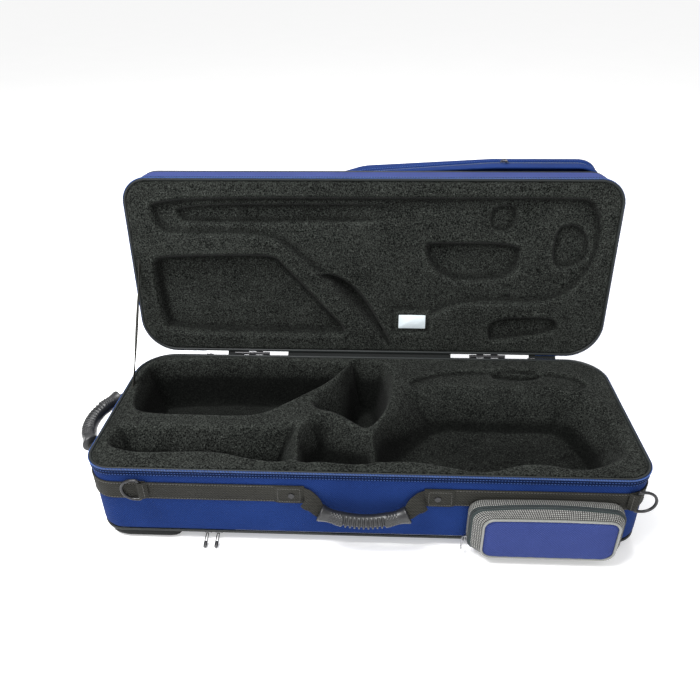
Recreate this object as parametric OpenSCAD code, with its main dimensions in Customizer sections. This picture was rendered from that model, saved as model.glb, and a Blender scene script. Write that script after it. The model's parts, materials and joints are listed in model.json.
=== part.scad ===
// Padded case for a tenor saxophone, standing open on its harness pouch.
// Frame: +X to the bell end, +Y to the hinge side, +Z up.
// The origin is the centre of the footprint, on the surface that the case stands on.

/* [Case] */
// Length of the case over the fabric
case_l = 830; // [690:5:1000]
// Width of the case over the fabric
case_w = 316; // [290:2:390]
// Depth of the base, from its underside to the rim
base_d = 130; // [112:1:160]
// Depth of the lid, from its rim to its outer face
lid_d = 72; // [60:1:95]
// Corner radius in plan at the hinge side
back_r = 60; // [50:1:72]
// Corner radius in plan at the front
front_r = 42; // [34:1:52]
// Radius of the rounded outer edges
edge_r = 14; // [10:1:18]
// Angle of the opened lid from its closed place
lid_open = 95; // [90:1:110]

/* [Shell] */
// Thickness of the woven cover
cover_t = 2; // [1.5:0.1:3]
// Thickness of the rigid foam core
core_t = 6; // [4:0.5:9]
// Height of the binding that closes the rim
binding_h = 6; // [4:0.5:8]
// Radius of the piping along the outer edges
piping_r = 2.2; // [1.6:0.1:3]
// Gap between the two rims when the case is shut
rim_gap = 1; // [0.6:0.1:2]

/* [Lining] */
// Depth of the accessory bay
accessory_d = 96; // [60:1:100]
// Depth of the tube bay
tube_d = 70; // [50:1:90]
// Depth of the body bay
body_d = 92; // [60:1:100]
// Depth of the bell bay
bell_d = 106; // [70:1:110]
// Depth of the shallow shelf pressed into the lid lining
shelf_d = 5; // [3:1:8]
// Depth of the accessory recess in the lid lining
lid_recess_d = 22; // [14:1:32]
// Depth of the bell recess in the lid lining
lid_bell_d = 40; // [26:1:46]

/* [Main zip] */
// Height of the zip tape
tape_h = 13; // [9:1:14]
// Thickness of the zip tape
tape_t = 1; // [0.8:0.1:1.2]
// Height of the zip's teeth
teeth_h = 3; // [2:0.5:4]
// Thickness of the teeth beyond the tape
teeth_t = 1.2; // [0.8:0.1:1.4]
// Length of zip left open at the hinge, as a distance between sliders
zip_mouth = 606; // [480:2:620]
// Length of a zip pull
pull_l = 26; // [16:1:30]

/* [Hinges] */
// Distance of the hinge axis behind the back wall
hinge_out = 4; // [3.8:0.1:5]
// Radius of the hinge barrel
barrel_r = 2.8; // [2.6:0.1:3.2]
// Radius of the hinge pin
hinge_pin_r = 1.5; // [1.2:0.1:1.8]
// Length of each hinge
hinge_l = 65; // [45:1:80]
// Distance between the middles of the two hinges
hinge_spacing = 432; // [300:2:480]
// Height of a hinge leaf
leaf_h = 20; // [14:1:21]

/* [Webbing] */
// Width of the webbing band
band_w = 32; // [28:1:38]
// Thickness of the webbing band
band_t = 1.5; // [1.2:0.1:2.2]
// Height of the band's middle above the surface
band_z = 101; // [90:1:106]
// Opening of each carrying ring
ring_in = 32; // [26:1:34]
// Radius of the ring's wire
ring_r = 2.2; // [1.8:0.1:2.6]

/* [Handles] */
// Distance between the two folds of a handle
handle_span = 172; // [160:2:220]
// Length of the moulded grip
grip_l = 124; // [100:2:140]
// Radius of the moulded grip
grip_r = 11; // [9:0.5:12]
// Distance from the swing axis to the middle of the front grip
front_drop = 36; // [30:1:44]
// Distance from the swing axis to the middle of the side grip
side_drop = 50; // [44:1:58]
// How much the front grip is bowed
front_bow = 13; // [8:1:16]
// How much the side grip is bowed
side_bow = 24; // [16:1:28]
// Lean of the front handle away from the wall
front_lean = 24; // [18:1:40]
// Lean of the side handle away from the wall
side_lean = 86; // [60:1:95]
// Distance of the side handle's middle behind the middle of the case
side_shift = 12; // [0:1:20]
// Distance of the swing axis from the wall
swing_out = 4.5; // [4:0.1:6]

/* [Front pocket] */
// Width of the pocket on the wall
pocket_w = 222; // [170:1:230]
// Height of the pocket on the wall
pocket_h = 84; // [70:1:88]
// Depth of the pocket
pocket_d = 34; // [30:1:46]
// Distance of the pocket's right side from the right end of the case
pocket_in = 40; // [36:1:80]
// Thickness of the pocket's fabric
pocket_t = 3; // [2:0.5:4]

/* [Lid pocket] */
// Length of the lid pocket along its hinge-side edge
lid_pocket_l = 470; // [380:5:520]
// Width of the lid pocket
lid_pocket_w = 262; // [220:2:270]
// Thickness of the lid pocket
lid_pocket_d = 70; // [50:1:80]
// Thickness of its fabric
lid_pocket_t = 3; // [2:0.5:4]

/* [Harness pouch] */
// Thickness of the pouch under the base
pouch_t = 14; // [12:1:18]
// Length of the full-width end of the pouch
pouch_end_l = 108; // [90:1:130]
// Inset of the pouch's narrow part from the front
pouch_inset = 33; // [28:1:60]
// Inset of the pouch from the hinge side
pouch_back_inset = 12; // [11:1:40]

/* [Lid stay] */
// Width of the stay strap
stay_w = 10; // [8:1:14]
// Thickness of the stay strap
stay_t = 1.4; // [1:0.1:2]

/* [Hidden] */
$fn = 64;

rim_z = pouch_t + base_d;
wall = cover_t + core_t;
hinge_y = case_w/2 + hinge_out;
hinge_z = rim_z + rim_gap/2;
lid_rim_z = rim_z + rim_gap;
lid_top_z = lid_rim_z + lid_d;
lining_drop = 1;
in_l = case_l - 2*wall;
in_w = case_w - 2*wall;
fit = 0.3;
eps = 0.05;
touch = 0.02;       // clearance between sewn pieces that lie against each other
front_y = -case_w/2;

blue = [0.10, 0.14, 0.42];
plush = [0.10, 0.10, 0.10];
black = [0.06, 0.06, 0.06];
web = [0.16, 0.15, 0.14];
steel = [0.55, 0.55, 0.57];

// ---- plan outline and soft box ----

// the piece of a square corner that a rounding of radius r takes away
module corner_cut(r) {
    difference() {
        translate([-1, -1]) square(r + 1);
        translate([r, r]) circle(r);
    }
}

// outline of the case in plan, grown outward by g
module plan(g = 0) {
    l = case_l + 2*g;
    w = case_w + 2*g;
    difference() {
        square([l, w], center = true);
        for (s = [-1, 1]) {
            translate([s*l/2, -w/2]) mirror([s > 0 ? 1 : 0, 0]) corner_cut(front_r + g);
            translate([s*l/2, w/2]) mirror([0, 1]) mirror([s > 0 ? 1 : 0, 0]) corner_cut(back_r + g);
        }
    }
}

// a rectangle whose lower corners are rounded, or its right half only
module sole_profile(w, d, r, half = false) {
    difference() {
        translate([half ? 0 : -w/2, 0]) square([half ? w/2 : w, d]);
        for (s = half ? [1] : [0, 1])
            translate([s ? w/2 : -w/2, 0]) mirror([s, 0]) corner_cut(r);
    }
}

// box with the plan outline grown by g, depth d, and its lower edges rounded
module soft_box(g, d, r) {
    hx = case_l/2 + g;
    hy = case_w/2 + g;
    rf = front_r + g;
    rb = back_r + g;
    // the length, between the front and the back corners
    translate([0, -hy + rf, 0]) rotate([90, 0, 0]) mirror([0, 0, 1])
        linear_extrude(2*hy - rf - rb) sole_profile(2*hx, d, r);
    // the front and back strips, between the corners
    for (s = [-1, 1]) rotate([90, 0, s*90])
        linear_extrude(2*(hx - (s > 0 ? rb : rf)), center = true) sole_profile(2*hy, d, r, true);
    // the four corners
    for (s = [-1, 1], q = [-1, 1]) {
        c = q > 0 ? rb : rf;
        translate([s*(hx - c), q*(hy - c), 0]) rotate([0, 0, s > 0 ? (q > 0 ? 0 : -90) : (q > 0 ? 90 : 180)])
            rotate_extrude(angle = 90) difference() {
                square([c, d]);
                translate([c, 0]) mirror([1, 0]) corner_cut(r);
            }
    }
}

// a wall that follows the plan, from offset g0 to g1
module plan_ring(g0, g1, h) {
    linear_extrude(h) difference() {
        plan(g1);
        plan(g0);
    }
}

// a round cord that follows the plan at offset g, centred on z = 0
module plan_cord(g, r) {
    hx = case_l/2 + g;
    hy = case_w/2 + g;
    rf = front_r + g;
    rb = back_r + g;
    translate([-hx + rf, -hy, 0]) rotate([0, 90, 0]) cylinder(r = r, h = 2*(hx - rf));
    translate([-hx + rb, hy, 0]) rotate([0, 90, 0]) cylinder(r = r, h = 2*(hx - rb));
    for (s = [-1, 1]) {
        translate([s*hx, hy - rb, 0]) rotate([90, 0, 0]) cylinder(r = r, h = 2*hy - rb - rf);
        translate([s*(hx - rf), -hy + rf, 0]) rotate([0, 0, s > 0 ? -90 : 180])
            rotate_extrude(angle = 90) translate([rf, 0]) circle(r);
        translate([s*(hx - rb), hy - rb, 0]) rotate([0, 0, s > 0 ? 0 : 90])
            rotate_extrude(angle = 90) translate([rb, 0]) circle(r);
    }
}

// where the piping lies, on the middle of a rounded edge; cut down to a tenth of a millimetre
piping_in = floor(10*(edge_r - (edge_r + piping_r + touch)*cos(45)))/10;

// places its children, drawn with the lid shut, on the opened lid
module on_lid() {
    translate([0, hinge_y, hinge_z]) rotate([-lid_open, 0, 0]) translate([0, -hinge_y, -hinge_z])
        children();
}

// ---- shells ----

module base_cover() color(blue) difference() {
    translate([0, 0, pouch_t]) soft_box(0, base_d - binding_h, edge_r);
    translate([0, 0, pouch_t + cover_t]) soft_box(-cover_t, base_d, edge_r - cover_t);
}

module base_core() color(plush) difference() {
    translate([0, 0, pouch_t + cover_t]) soft_box(-cover_t, base_d - binding_h - cover_t, edge_r - cover_t);
    translate([0, 0, pouch_t + wall]) soft_box(-wall, base_d, max(edge_r - wall, 1));
}

module base_rim_binding() color(black)
    translate([0, 0, rim_z - binding_h]) plan_ring(-wall, 0, binding_h);

module base_edge_piping() color(black)
    translate([0, 0, pouch_t + piping_in]) plan_cord(-piping_in, piping_r);

zip_down = 1;      // how far the teeth stay behind the rim

// half of the main zip, hanging from z = 0: a tape with the teeth along its free edge, open across the hinges
module zip_half() difference() {
    union() {
        translate([0, 0, -tape_h]) plan_ring(0, tape_t, tape_h);
        translate([0, 0, -teeth_h]) plan_ring(tape_t, tape_t + teeth_t, teeth_h);
    }
    translate([-zip_mouth/2, 0, -tape_h - 1]) cube([zip_mouth, case_w, tape_h + 2]);
}

module base_zip() color(blue) translate([0, 0, rim_z - zip_down]) zip_half();

module lid_cover() color(blue) on_lid() translate([0, 0, lid_top_z]) mirror([0, 0, 1]) difference() {
    soft_box(0, lid_d - binding_h, edge_r);
    translate([0, 0, cover_t]) soft_box(-cover_t, lid_d, edge_r - cover_t);
}

module lid_core() color(plush) on_lid() translate([0, 0, lid_top_z]) mirror([0, 0, 1]) difference() {
    translate([0, 0, cover_t]) soft_box(-cover_t, lid_d - binding_h - cover_t, edge_r - cover_t);
    translate([0, 0, wall]) soft_box(-wall, lid_d, max(edge_r - wall, 1));
}

module lid_rim_binding() color(black) on_lid()
    translate([0, 0, lid_rim_z]) plan_ring(-wall, 0, binding_h);

module lid_edge_piping() color(black) on_lid()
    translate([0, 0, lid_top_z - piping_in]) plan_cord(-piping_in, piping_r);

module lid_zip() color(blue) on_lid()
    translate([0, 0, lid_rim_z + zip_down]) mirror([0, 0, 1]) zip_half();

// ---- lining of the base ----

lining_top = rim_z - lining_drop;
left_x = -in_l/2;
right_x = in_l/2;
back_y = in_w/2;
fore_y = -in_w/2;
margin = 18;        // width of the lining left round the bays
ridge = 26;         // width of the ridge between the accessory and tube bays
accessory_l = 340;  // length of the accessory bay along the hinge side
accessory_w = 160;  // width of the accessory bay
slope_run = 150;    // how far the slanting ridge runs along the case
tube_l = 300;       // length of the tube bay before the body bay
bell_w = 170;       // width of the bell bay

module bay(points, d) translate([0, 0, lining_top - d]) linear_extrude(d + 5) polygon(points);

module accessory_bay() bay([
    [left_x + margin + 22, back_y - margin],
    [left_x + margin, back_y - margin - 30],
    [left_x + margin, back_y - accessory_w + 14],
    [left_x + margin + 16, back_y - accessory_w],
    [left_x + margin + accessory_l - slope_run, back_y - accessory_w],
    [left_x + margin + accessory_l - slope_run + 50, back_y - accessory_w + 14],
    [left_x + margin + accessory_l, back_y - margin - 12],
    [left_x + margin + accessory_l - 4, back_y - margin]
], accessory_d);

tube_back_y = back_y - accessory_w - ridge;
body_x = left_x + margin + tube_l;
bell_x = left_x + margin + accessory_l + 28;

module tube_bay() bay([
    [left_x + margin, tube_back_y - 16],
    [left_x + margin + 16, tube_back_y],
    [body_x + 40, tube_back_y],
    [body_x + 40, fore_y + margin + 2],
    [left_x + margin + 16, fore_y + margin + 12],
    [left_x + margin, fore_y + margin + 24]
], tube_d);

module body_bay() bay([
    [body_x, tube_back_y + 6],
    [body_x + 60, tube_back_y + 34],
    [bell_x + 60, back_y - 3*margin],
    [right_x - 3*margin, back_y - 2*margin],
    [right_x - margin, back_y - 5*margin],
    [right_x - margin, fore_y + 3*margin],
    [right_x - 3*margin, fore_y + margin - 4],
    [body_x, fore_y + margin - 4]
], body_d);

module bell_bay() bay([
    [bell_x, back_y - margin + 4],
    [bell_x + 50, back_y - margin + 4],
    [bell_x + 68, back_y - margin - 60],
    [bell_x + 48, back_y - margin - 145],
    [bell_x + 20, back_y - bell_w - 10],
    [bell_x - 60, back_y - bell_w + 14],
    [bell_x - 74, back_y - bell_w + 40]
], bell_d);

module base_lining() color(plush) difference() {
    translate([0, 0, pouch_t + wall]) soft_box(-wall, base_d - wall - lining_drop, max(edge_r - wall, 1));
    accessory_bay();
    tube_bay();
    body_bay();
    bell_bay();
    at_base_stay() stay_end(eps);
}

// ---- lining of the lid ----

// cuts a recess of depth d into the lid lining, in the shut lid's frame
module recess(points, d) translate([0, 0, lid_rim_z - 5]) linear_extrude(d + 5 + lining_drop) polygon(points);

lid_ridge_y = back_y - accessory_w + 4;

module lid_lining() color(plush) on_lid() difference() {
    translate([0, 0, lid_top_z - wall]) mirror([0, 0, 1])
        soft_box(-wall, lid_d - wall - lining_drop, max(edge_r - wall, 1));
    recess([
        [left_x + margin + 10, back_y - 28],
        [left_x + margin, lid_ridge_y + 18],
        [left_x + margin + 16, lid_ridge_y],
        [left_x + margin + accessory_l - slope_run, lid_ridge_y],
        [left_x + margin + accessory_l - slope_run + 40, lid_ridge_y + 20],
        [left_x + margin + accessory_l, back_y - 48],
        [left_x + margin + accessory_l - 6, back_y - 28]
    ], lid_recess_d);
    recess([
        [left_x + margin + 14, fore_y + 26],
        [right_x - 60, fore_y + 26],
        [right_x - 30, fore_y + 56],
        [right_x - 30, fore_y + 130],
        [right_x - 80, fore_y + 200],
        [bell_x + 90, back_y - 20],
        [bell_x + 70, back_y - 20],
        [bell_x + 30, back_y - 110],
        [bell_x - 46, lid_ridge_y - 4],
        [bell_x - 120, lid_ridge_y - ridge],
        [left_x + margin + 36, lid_ridge_y - ridge],
        [left_x + margin + 14, lid_ridge_y - 2*ridge]
    ], shelf_d);
    recess([
        [bell_x - 70, back_y - 140],
        [bell_x - 40, back_y - 146],
        [bell_x - 4, back_y - 130],
        [bell_x + 30, back_y - 100],
        [bell_x + 64, back_y - 20],
        [bell_x + 24, back_y - 60],
        [bell_x - 30, back_y - 104]
    ], lid_bell_d);
    at_lid_stay() stay_end(eps);
}

label_w = 48;
label_h = 26;
label_t = 0.8;
module lining_label() color("white") on_lid()
    translate([bell_x + 74, back_y - 40 - label_h, lid_rim_z + lining_drop + shelf_d - label_t])
        cube([label_w, label_h, label_t - touch]);

// ---- hinges ----

leaf_t = 1.2;
knuckles = 5;
knuckle_gap = 0.4;
knuckle_l = hinge_l/knuckles;

// one leaf in a frame with the axis along X, the wall at y = -hinge_out and the leaf hanging down
module hinge_leaf(first) {
    difference() {
        union() {
            translate([-hinge_l/2, -hinge_out, -leaf_h]) cube([hinge_l, leaf_t, leaf_h - barrel_r]);
            for (k = [first : 2 : knuckles - 1])
                translate([-hinge_l/2 + k*knuckle_l + knuckle_gap/2, 0, 0]) {
                    rotate([0, 90, 0]) cylinder(r = barrel_r, h = knuckle_l - knuckle_gap);
                    translate([0, -hinge_out, -barrel_r - 1])
                        cube([knuckle_l - knuckle_gap, leaf_t, barrel_r + 1 - rim_gap]);
                    translate([0, -hinge_out, -barrel_r]) cube([knuckle_l - knuckle_gap, hinge_out, 1.8]);
                }
        }
        translate([-hinge_l/2 - 1, 0, 0]) rotate([0, 90, 0]) cylinder(r = hinge_pin_r + 0.05, h = hinge_l + 2);
        for (s = [-1, 1])
            translate([s*hinge_l/3, -hinge_out - 1, -leaf_h + 6]) rotate([-90, 0, 0]) cylinder(r = 1.6, h = 4);
    }
}

module at_hinges() for (s = [-1, 1]) translate([s*hinge_spacing/2, hinge_y, hinge_z]) children();

module hinge_base_leaves() color(black) at_hinges() hinge_leaf(0);

module hinge_lid_leaves() color(black) on_lid() at_hinges() mirror([0, 0, 1]) hinge_leaf(1);

module hinge_pins() color(steel) at_hinges()
    translate([-hinge_l/2, 0, 0]) rotate([0, 90, 0]) cylinder(r = hinge_pin_r, h = hinge_l);

// ---- webbing band, rings ----

band_gap_l = handle_span + 4;
module side_band() color(web) difference() {
    translate([0, 0, band_z - band_w/2]) plan_ring(0, band_t, band_w);
    translate([-band_gap_l/2, front_y - 10, 0]) cube([band_gap_l, 20, rim_z]);
}

ring_bar = ring_in + 2*ring_r;
ring_y = front_y - band_t - 3.2;
ring_z = band_z + 4;
left_ring_x = -case_l/2 + 83;
right_ring_x = case_l/2 - 25;
tab_l = 14;
tab_h = ring_in - 2;
tab_t = 6.4;

// the webbing loop that holds a ring's bar, in the bar's frame, running to -X
module ring_tab() difference() {
    translate([-tab_l + 4, -tab_t/2 + touch, -tab_h/2]) cube([tab_l, tab_t - touch, tab_h]);
    translate([0, 0, -tab_h]) cylinder(r = ring_r + fit, h = 2*tab_h);
}

module ring_tabs() color(web) {
    translate([left_ring_x, ring_y, ring_z]) mirror([1, 0, 0]) ring_tab();
    translate([right_ring_x, ring_y, ring_z]) ring_tab();
}

// a carrying ring: a straight bar on the Z axis, two short arms and a half circle to +X
ring_arm = 9;
module d_ring() {
    m = ring_bar/2;
    corner = 3;
    translate([0, 0, -m + corner]) cylinder(r = ring_r, h = 2*(m - corner));
    for (s = [-1, 1]) mirror([0, 0, s > 0 ? 0 : 1]) {
        translate([corner, 0, m - corner]) rotate([90, 0, 0]) rotate([0, 0, 90])
            rotate_extrude(angle = 90) translate([corner, 0]) circle(ring_r);
        translate([corner, 0, m]) rotate([0, 90, 0]) cylinder(r = ring_r, h = ring_arm - corner);
    }
    translate([ring_arm, 0, 0]) rotate([90, 0, 0]) rotate([0, 0, -90])
        rotate_extrude(angle = 180) translate([m, 0]) circle(ring_r);
}

module left_ring() color(black) translate([left_ring_x, ring_y, ring_z]) mirror([1, 0, 0]) d_ring();

module right_ring() color(black) translate([right_ring_x, ring_y, ring_z]) d_ring();

// ---- handles ----

anchor_l = 42;
anchor_t = 3;
rivet_r = 4.5;
rivet_hole_r = 2;

// a frame at the middle of the front wall (k = 0) or of the left wall (k = 1), with the wall at y = 0
module on_wall(k) translate(k ? [-case_l/2, side_shift, band_z] : [0, front_y, band_z])
    rotate([0, 0, k ? -90 : 0]) children();

// the patch that holds the fold of a handle, over the band's end on the front wall
module anchors(k) on_wall(k) for (s = [-1, 1]) mirror([s > 0 ? 0 : 1, 0, 0])
    translate([handle_span/2 + 3, -band_t - anchor_t, -band_w/2]) difference() {
        cube([anchor_l, anchor_t - touch, band_w]);
        translate([anchor_l/2 - 3, 0, band_w/2]) rotate([90, 0, 0])
            cylinder(r = rivet_hole_r + 0.1, h = 20, center = true);
    }

module front_handle_anchors() color(web) anchors(0);

module side_handle_anchors() color(web) anchors(1);

module rivets(k) on_wall(k) for (s = [-1, 1])
    translate([s*(handle_span/2 + anchor_l/2), -band_t - anchor_t, 0]) rotate([90, 0, 0]) {
        cylinder(r = rivet_r, h = 1.6);
        translate([0, 0, -anchor_t + 0.1]) cylinder(r = rivet_hole_r, h = anchor_t);
    }

module handle_rivets() color(steel) {
    rivets(0);
    rivets(1);
}

strap_w = 24;
strap_t = 3;

// places its children, drawn hanging from the X axis, at a handle that leans away from the wall
module on_handle(k, lean) on_wall(k) translate([0, -swing_out - band_t, 0]) rotate([-lean, 0, 0]) children();

// a grip whose middle hangs at drop and whose ends rise by bow
module grip(drop, bow) {
    arc_r = (pow(grip_l/2, 2) + pow(bow, 2))/(2*bow);
    half_angle = asin(grip_l/2/arc_r);
    translate([0, 0, arc_r - drop]) rotate([90, 0, 0]) rotate([0, 0, -90 - half_angle])
        rotate_extrude(angle = 2*half_angle, $fn = 96) translate([arc_r, 0]) circle(grip_r);
}

// a webbing strap from each fold to the end of the grip
module straps(drop, bow) {
    end = drop - bow;
    turn = 2*atan2(bow, grip_l/2);
    end_x = grip_l/2 + touch*cos(turn);
    end_z = -end + touch*sin(turn);
    for (s = [-1, 1]) mirror([s > 0 ? 0 : 1, 0, 0]) rotate([90, 0, 0]) linear_extrude(strap_t, center = true)
        polygon([
            [handle_span/2, 0],
            [handle_span/2, -strap_w],
            [end_x + grip_r*sin(turn), end_z - grip_r*cos(turn)],
            [end_x - grip_r*sin(turn), end_z + grip_r*cos(turn)],
            [handle_span/2 - strap_w/3, 0]
        ]);
}

module front_handle_grip() color(black) on_handle(0, front_lean) grip(front_drop, front_bow);

module front_handle_straps() color(web) on_handle(0, front_lean) straps(front_drop, front_bow);

module side_handle_grip() color(black) on_handle(1, side_lean) grip(side_drop, side_bow);

module side_handle_straps() color(web) on_handle(1, side_lean) straps(side_drop, side_bow);

// ---- zip sliders and pulls ----

slider_l = 14;
slider_w = 8.4;
slider_t = 4.2;
bar_r = 0.8;
cheek_t = 1.2;
pull_w = 5;
pull_t = 1.8;
bar_h = 2.6;           // height of the bar's axis above the slider

// a slider that runs along X, flat in the XY plane
module slider() cube([slider_l, slider_w, slider_t], center = true);

// two cheeks on z = 0 and, between them, the bar along X that the pull swings on
module bridge() {
    for (s = [-1, 1]) translate([s*(pull_w/2 + 0.3 + cheek_t/2) - cheek_t/2, -1.6, 0])
        cube([cheek_t, 3.2, bar_h + 1.6]);
    translate([-pull_w/2 - 0.4, 0, bar_h]) rotate([0, 90, 0]) cylinder(r = bar_r, h = pull_w + 0.8);
}

// a pull tab that hangs to -Y from a bar along X at the origin
module pull(l) difference() {
    union() {
        rotate([0, 90, 0]) cylinder(r = 1.9, h = pull_w, center = true);
        translate([-pull_w/2, -l, -pull_t/2]) cube([pull_w, l, pull_t]);
    }
    rotate([0, 90, 0]) cylinder(r = bar_r + 0.25, h = pull_w + 2, center = true);
    translate([0, -l + 4, -5]) cylinder(r = 1.5, h = 10);
}

// the main zip's sliders rest on the base beside the hinges, against the ends of the teeth
module at_main_slider(s)
    translate([s*(zip_mouth/2 - slider_l/2), case_w/2 + slider_t/2, rim_z - 0.5 - slider_w/2]) children();

module main_slider(s) at_main_slider(s) rotate([-90, 0, 0]) {
    slider();
    translate([0, 0, slider_t/2]) bridge();
}

module main_pull(s) at_main_slider(s) translate([0, slider_t/2 + bar_h, 0]) rotate([90, 0, 0]) pull(pull_l);

module left_main_slider() color(steel) main_slider(-1);

module left_main_pull() color(black) main_pull(-1);

module right_main_slider() color(steel) main_slider(1);

module right_main_pull() color(black) main_pull(1);

// ---- front pocket ----

pocket_r = 18;
pocket_zip_d = 17;     // how far the zip stands from the wall
pocket_front_in = 10;  // how much smaller the pocket's front half is on each side
pocket_z = 17;
pocket_cx = case_l/2 - pocket_in - pocket_w/2;
pocket_cut = 0.6;      // gap between the two halves, where the zip runs

module round_rect(w, h, r) difference() {
    translate([-w/2, 0]) square([w, h]);
    for (a = [0, 1], b = [0, 1])
        translate([a ? w/2 : -w/2, b ? h : 0]) mirror([a, 0]) mirror([0, b]) corner_cut(r);
}

// a frame on the wall under the pocket, with X along the wall, Y up and Z out of the wall
module on_pocket() translate([pocket_cx, front_y - band_t, pocket_z]) rotate([90, 0, 0]) children();

pocket_fw = pocket_w - 2*pocket_front_in;
pocket_fh = pocket_h - pocket_front_in;
pocket_fz = pocket_zip_d + pocket_cut;
face_t = 3;
fold_gap = 1;          // gap at the fold along the bottom of the face

// the half gusset on the wall, with the bottom of the pocket
module pocket_back() color(web) on_pocket() {
    difference() {
        linear_extrude(pocket_zip_d) round_rect(pocket_w, pocket_h, pocket_r);
        translate([0, pocket_t, pocket_t]) linear_extrude(pocket_d)
            round_rect(pocket_w - 2*pocket_t, pocket_h - 2*pocket_t, pocket_r - pocket_t);
    }
    translate([-pocket_fw/2 + pocket_r, 0, pocket_zip_d - 1])
        cube([pocket_fw - 2*pocket_r, pocket_t, pocket_d - face_t - fold_gap - pocket_zip_d + 1]);
}

// the front half of the gusset, open along the bottom
module pocket_flap() color(web) on_pocket() translate([0, 0, pocket_fz]) difference() {
    linear_extrude(pocket_d - pocket_fz - face_t) round_rect(pocket_fw, pocket_fh, pocket_r);
    translate([0, pocket_t, -1]) linear_extrude(pocket_d)
        round_rect(pocket_fw - 2*pocket_t, pocket_fh - 2*pocket_t, pocket_r - pocket_t);
    translate([-pocket_fw/2, -1, -1]) cube([pocket_fw, pocket_t + fold_gap + 1, pocket_d]);
}

piping_w = 2.4;
module pocket_face() color(blue) on_pocket() translate([0, piping_w, pocket_d - face_t])
    linear_extrude(face_t) round_rect(pocket_fw - 2*piping_w, pocket_fh - 2*piping_w, pocket_r - piping_w);

module pocket_piping() color(black) on_pocket() translate([0, 0, pocket_d - face_t])
    linear_extrude(face_t) difference() {
        round_rect(pocket_fw, pocket_fh, pocket_r);
        translate([0, piping_w]) round_rect(pocket_fw - 2*piping_w, pocket_fh - 2*piping_w, pocket_r - piping_w);
    }

// the pocket's slider rests low on its left side
module at_pocket_slider() translate([
    pocket_cx - pocket_w/2 - slider_t/2 - 0.2,
    front_y - band_t - pocket_zip_d + slider_w/2 + 0.4,
    pocket_z + pocket_r/2 + slider_l/2
]) children();

module pocket_slider() color(steel) at_pocket_slider() rotate([0, -90, 0]) {
    slider();
    translate([0, 0, slider_t/2]) rotate([0, 0, 90]) bridge();
}

pocket_pull_l = 24;
module pocket_pull() color(black) at_pocket_slider() translate([-slider_t/2 - bar_h, 0, 0])
    rotate([0, -90, 0]) rotate([0, 0, -90]) pull(pocket_pull_l);

// ---- lid pocket ----

lid_pocket_x1 = case_l/2 - 18;
lid_pocket_y0 = front_y - 6;
lid_pocket_y1 = lid_pocket_y0 + lid_pocket_w;
lid_pocket_half = lid_pocket_d/2;
lid_pocket_cut = 0.8;
lid_pocket_r = 40;
lid_pocket_slant = 20;

// outline of the lid pocket, taken in by i
module lid_pocket_plan(i = 0) difference() {
    polygon([
        [lid_pocket_x1 - lid_pocket_l + i, lid_pocket_y1 - i],
        [lid_pocket_x1 - i, lid_pocket_y1 - i],
        [lid_pocket_x1 - i, lid_pocket_y0 + i],
        [lid_pocket_x1 - 0.4*lid_pocket_l, lid_pocket_y0 + i],
        [lid_pocket_x1 - lid_pocket_l + i, lid_pocket_y0 + lid_pocket_slant + i]
    ]);
    translate([lid_pocket_x1 - i, lid_pocket_y0 + i]) mirror([1, 0]) corner_cut(lid_pocket_r - i);
    translate([lid_pocket_x1 - i, lid_pocket_y1 - i]) mirror([1, 0]) mirror([0, 1]) corner_cut(lid_pocket_r - i);
}

module lid_pocket_back() color(blue) on_lid() translate([0, 0, lid_top_z + touch]) difference() {
    linear_extrude(lid_pocket_half) lid_pocket_plan();
    translate([0, 0, lid_pocket_t]) linear_extrude(lid_pocket_half) lid_pocket_plan(lid_pocket_t);
}

module lid_pocket_flap() color(blue) on_lid()
    translate([0, 0, lid_top_z + lid_pocket_half + lid_pocket_cut]) difference() {
        linear_extrude(lid_pocket_half - lid_pocket_cut) lid_pocket_plan();
        translate([0, 0, -1]) linear_extrude(lid_pocket_half - lid_pocket_cut - lid_pocket_t + 1)
            lid_pocket_plan(lid_pocket_t);
        translate([0, 0, lid_pocket_half - lid_pocket_cut - piping_w - touch]) linear_extrude(piping_w + 1)
            difference() {
                lid_pocket_plan(-1);
                lid_pocket_plan(piping_w);
            }
    }

module lid_pocket_piping() color(black) on_lid()
    translate([0, 0, lid_top_z + lid_pocket_d - piping_w]) linear_extrude(piping_w) difference() {
        lid_pocket_plan(0);
        lid_pocket_plan(piping_w - touch);
    }

lid_slider_x = lid_pocket_x1 - 0.4*lid_pocket_l + 24;
module at_lid_pocket_slider() translate([lid_slider_x, lid_pocket_y0 - slider_t/2 - 0.2,
    lid_top_z + lid_pocket_half + lid_pocket_cut/2]) children();

module lid_pocket_slider() color(black) on_lid() at_lid_pocket_slider() rotate([90, 0, 0]) {
    slider();
    translate([0, 0, slider_t/2]) bridge();
}

lid_pull_l = 22;
module lid_pocket_pull() color(black) on_lid() at_lid_pocket_slider()
    translate([0, -slider_t/2 - bar_h, 0]) rotate([90, 0, 0]) pull(lid_pull_l);

// ---- harness pouch under the base ----

pouch_r = 40;
pouch_end_in = 19;     // how far the pouch stays inside the left end of the case
pouch_front_in = 11;   // how far its full-width end stays inside the front
pouch_x1 = case_l/2 - 90;
pouch_wall = 2.5;

// a block with rounded corners, from x0 to x1 and from y0 to y1
module pouch_block(x0, x1, y0, y1, r) difference() {
    translate([x0, y0]) square([x1 - x0, y1 - y0]);
    for (a = [0, 1], b = [0, 1])
        translate([a ? x1 : x0, b ? y1 : y0]) mirror([a, 0]) mirror([0, b]) corner_cut(r);
}

pouch_x0 = -case_l/2 + pouch_end_in;
module pouch_plan(i = 0) {
    y1 = case_w/2 - pouch_back_inset - i;
    pouch_block(pouch_x0 + i, pouch_x0 + pouch_end_l - i, front_y + pouch_front_in + i, y1, pouch_r - i);
    pouch_block(pouch_x0 + i, pouch_x1 - i, front_y + pouch_inset + i, y1, pouch_r - i);
}

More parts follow.
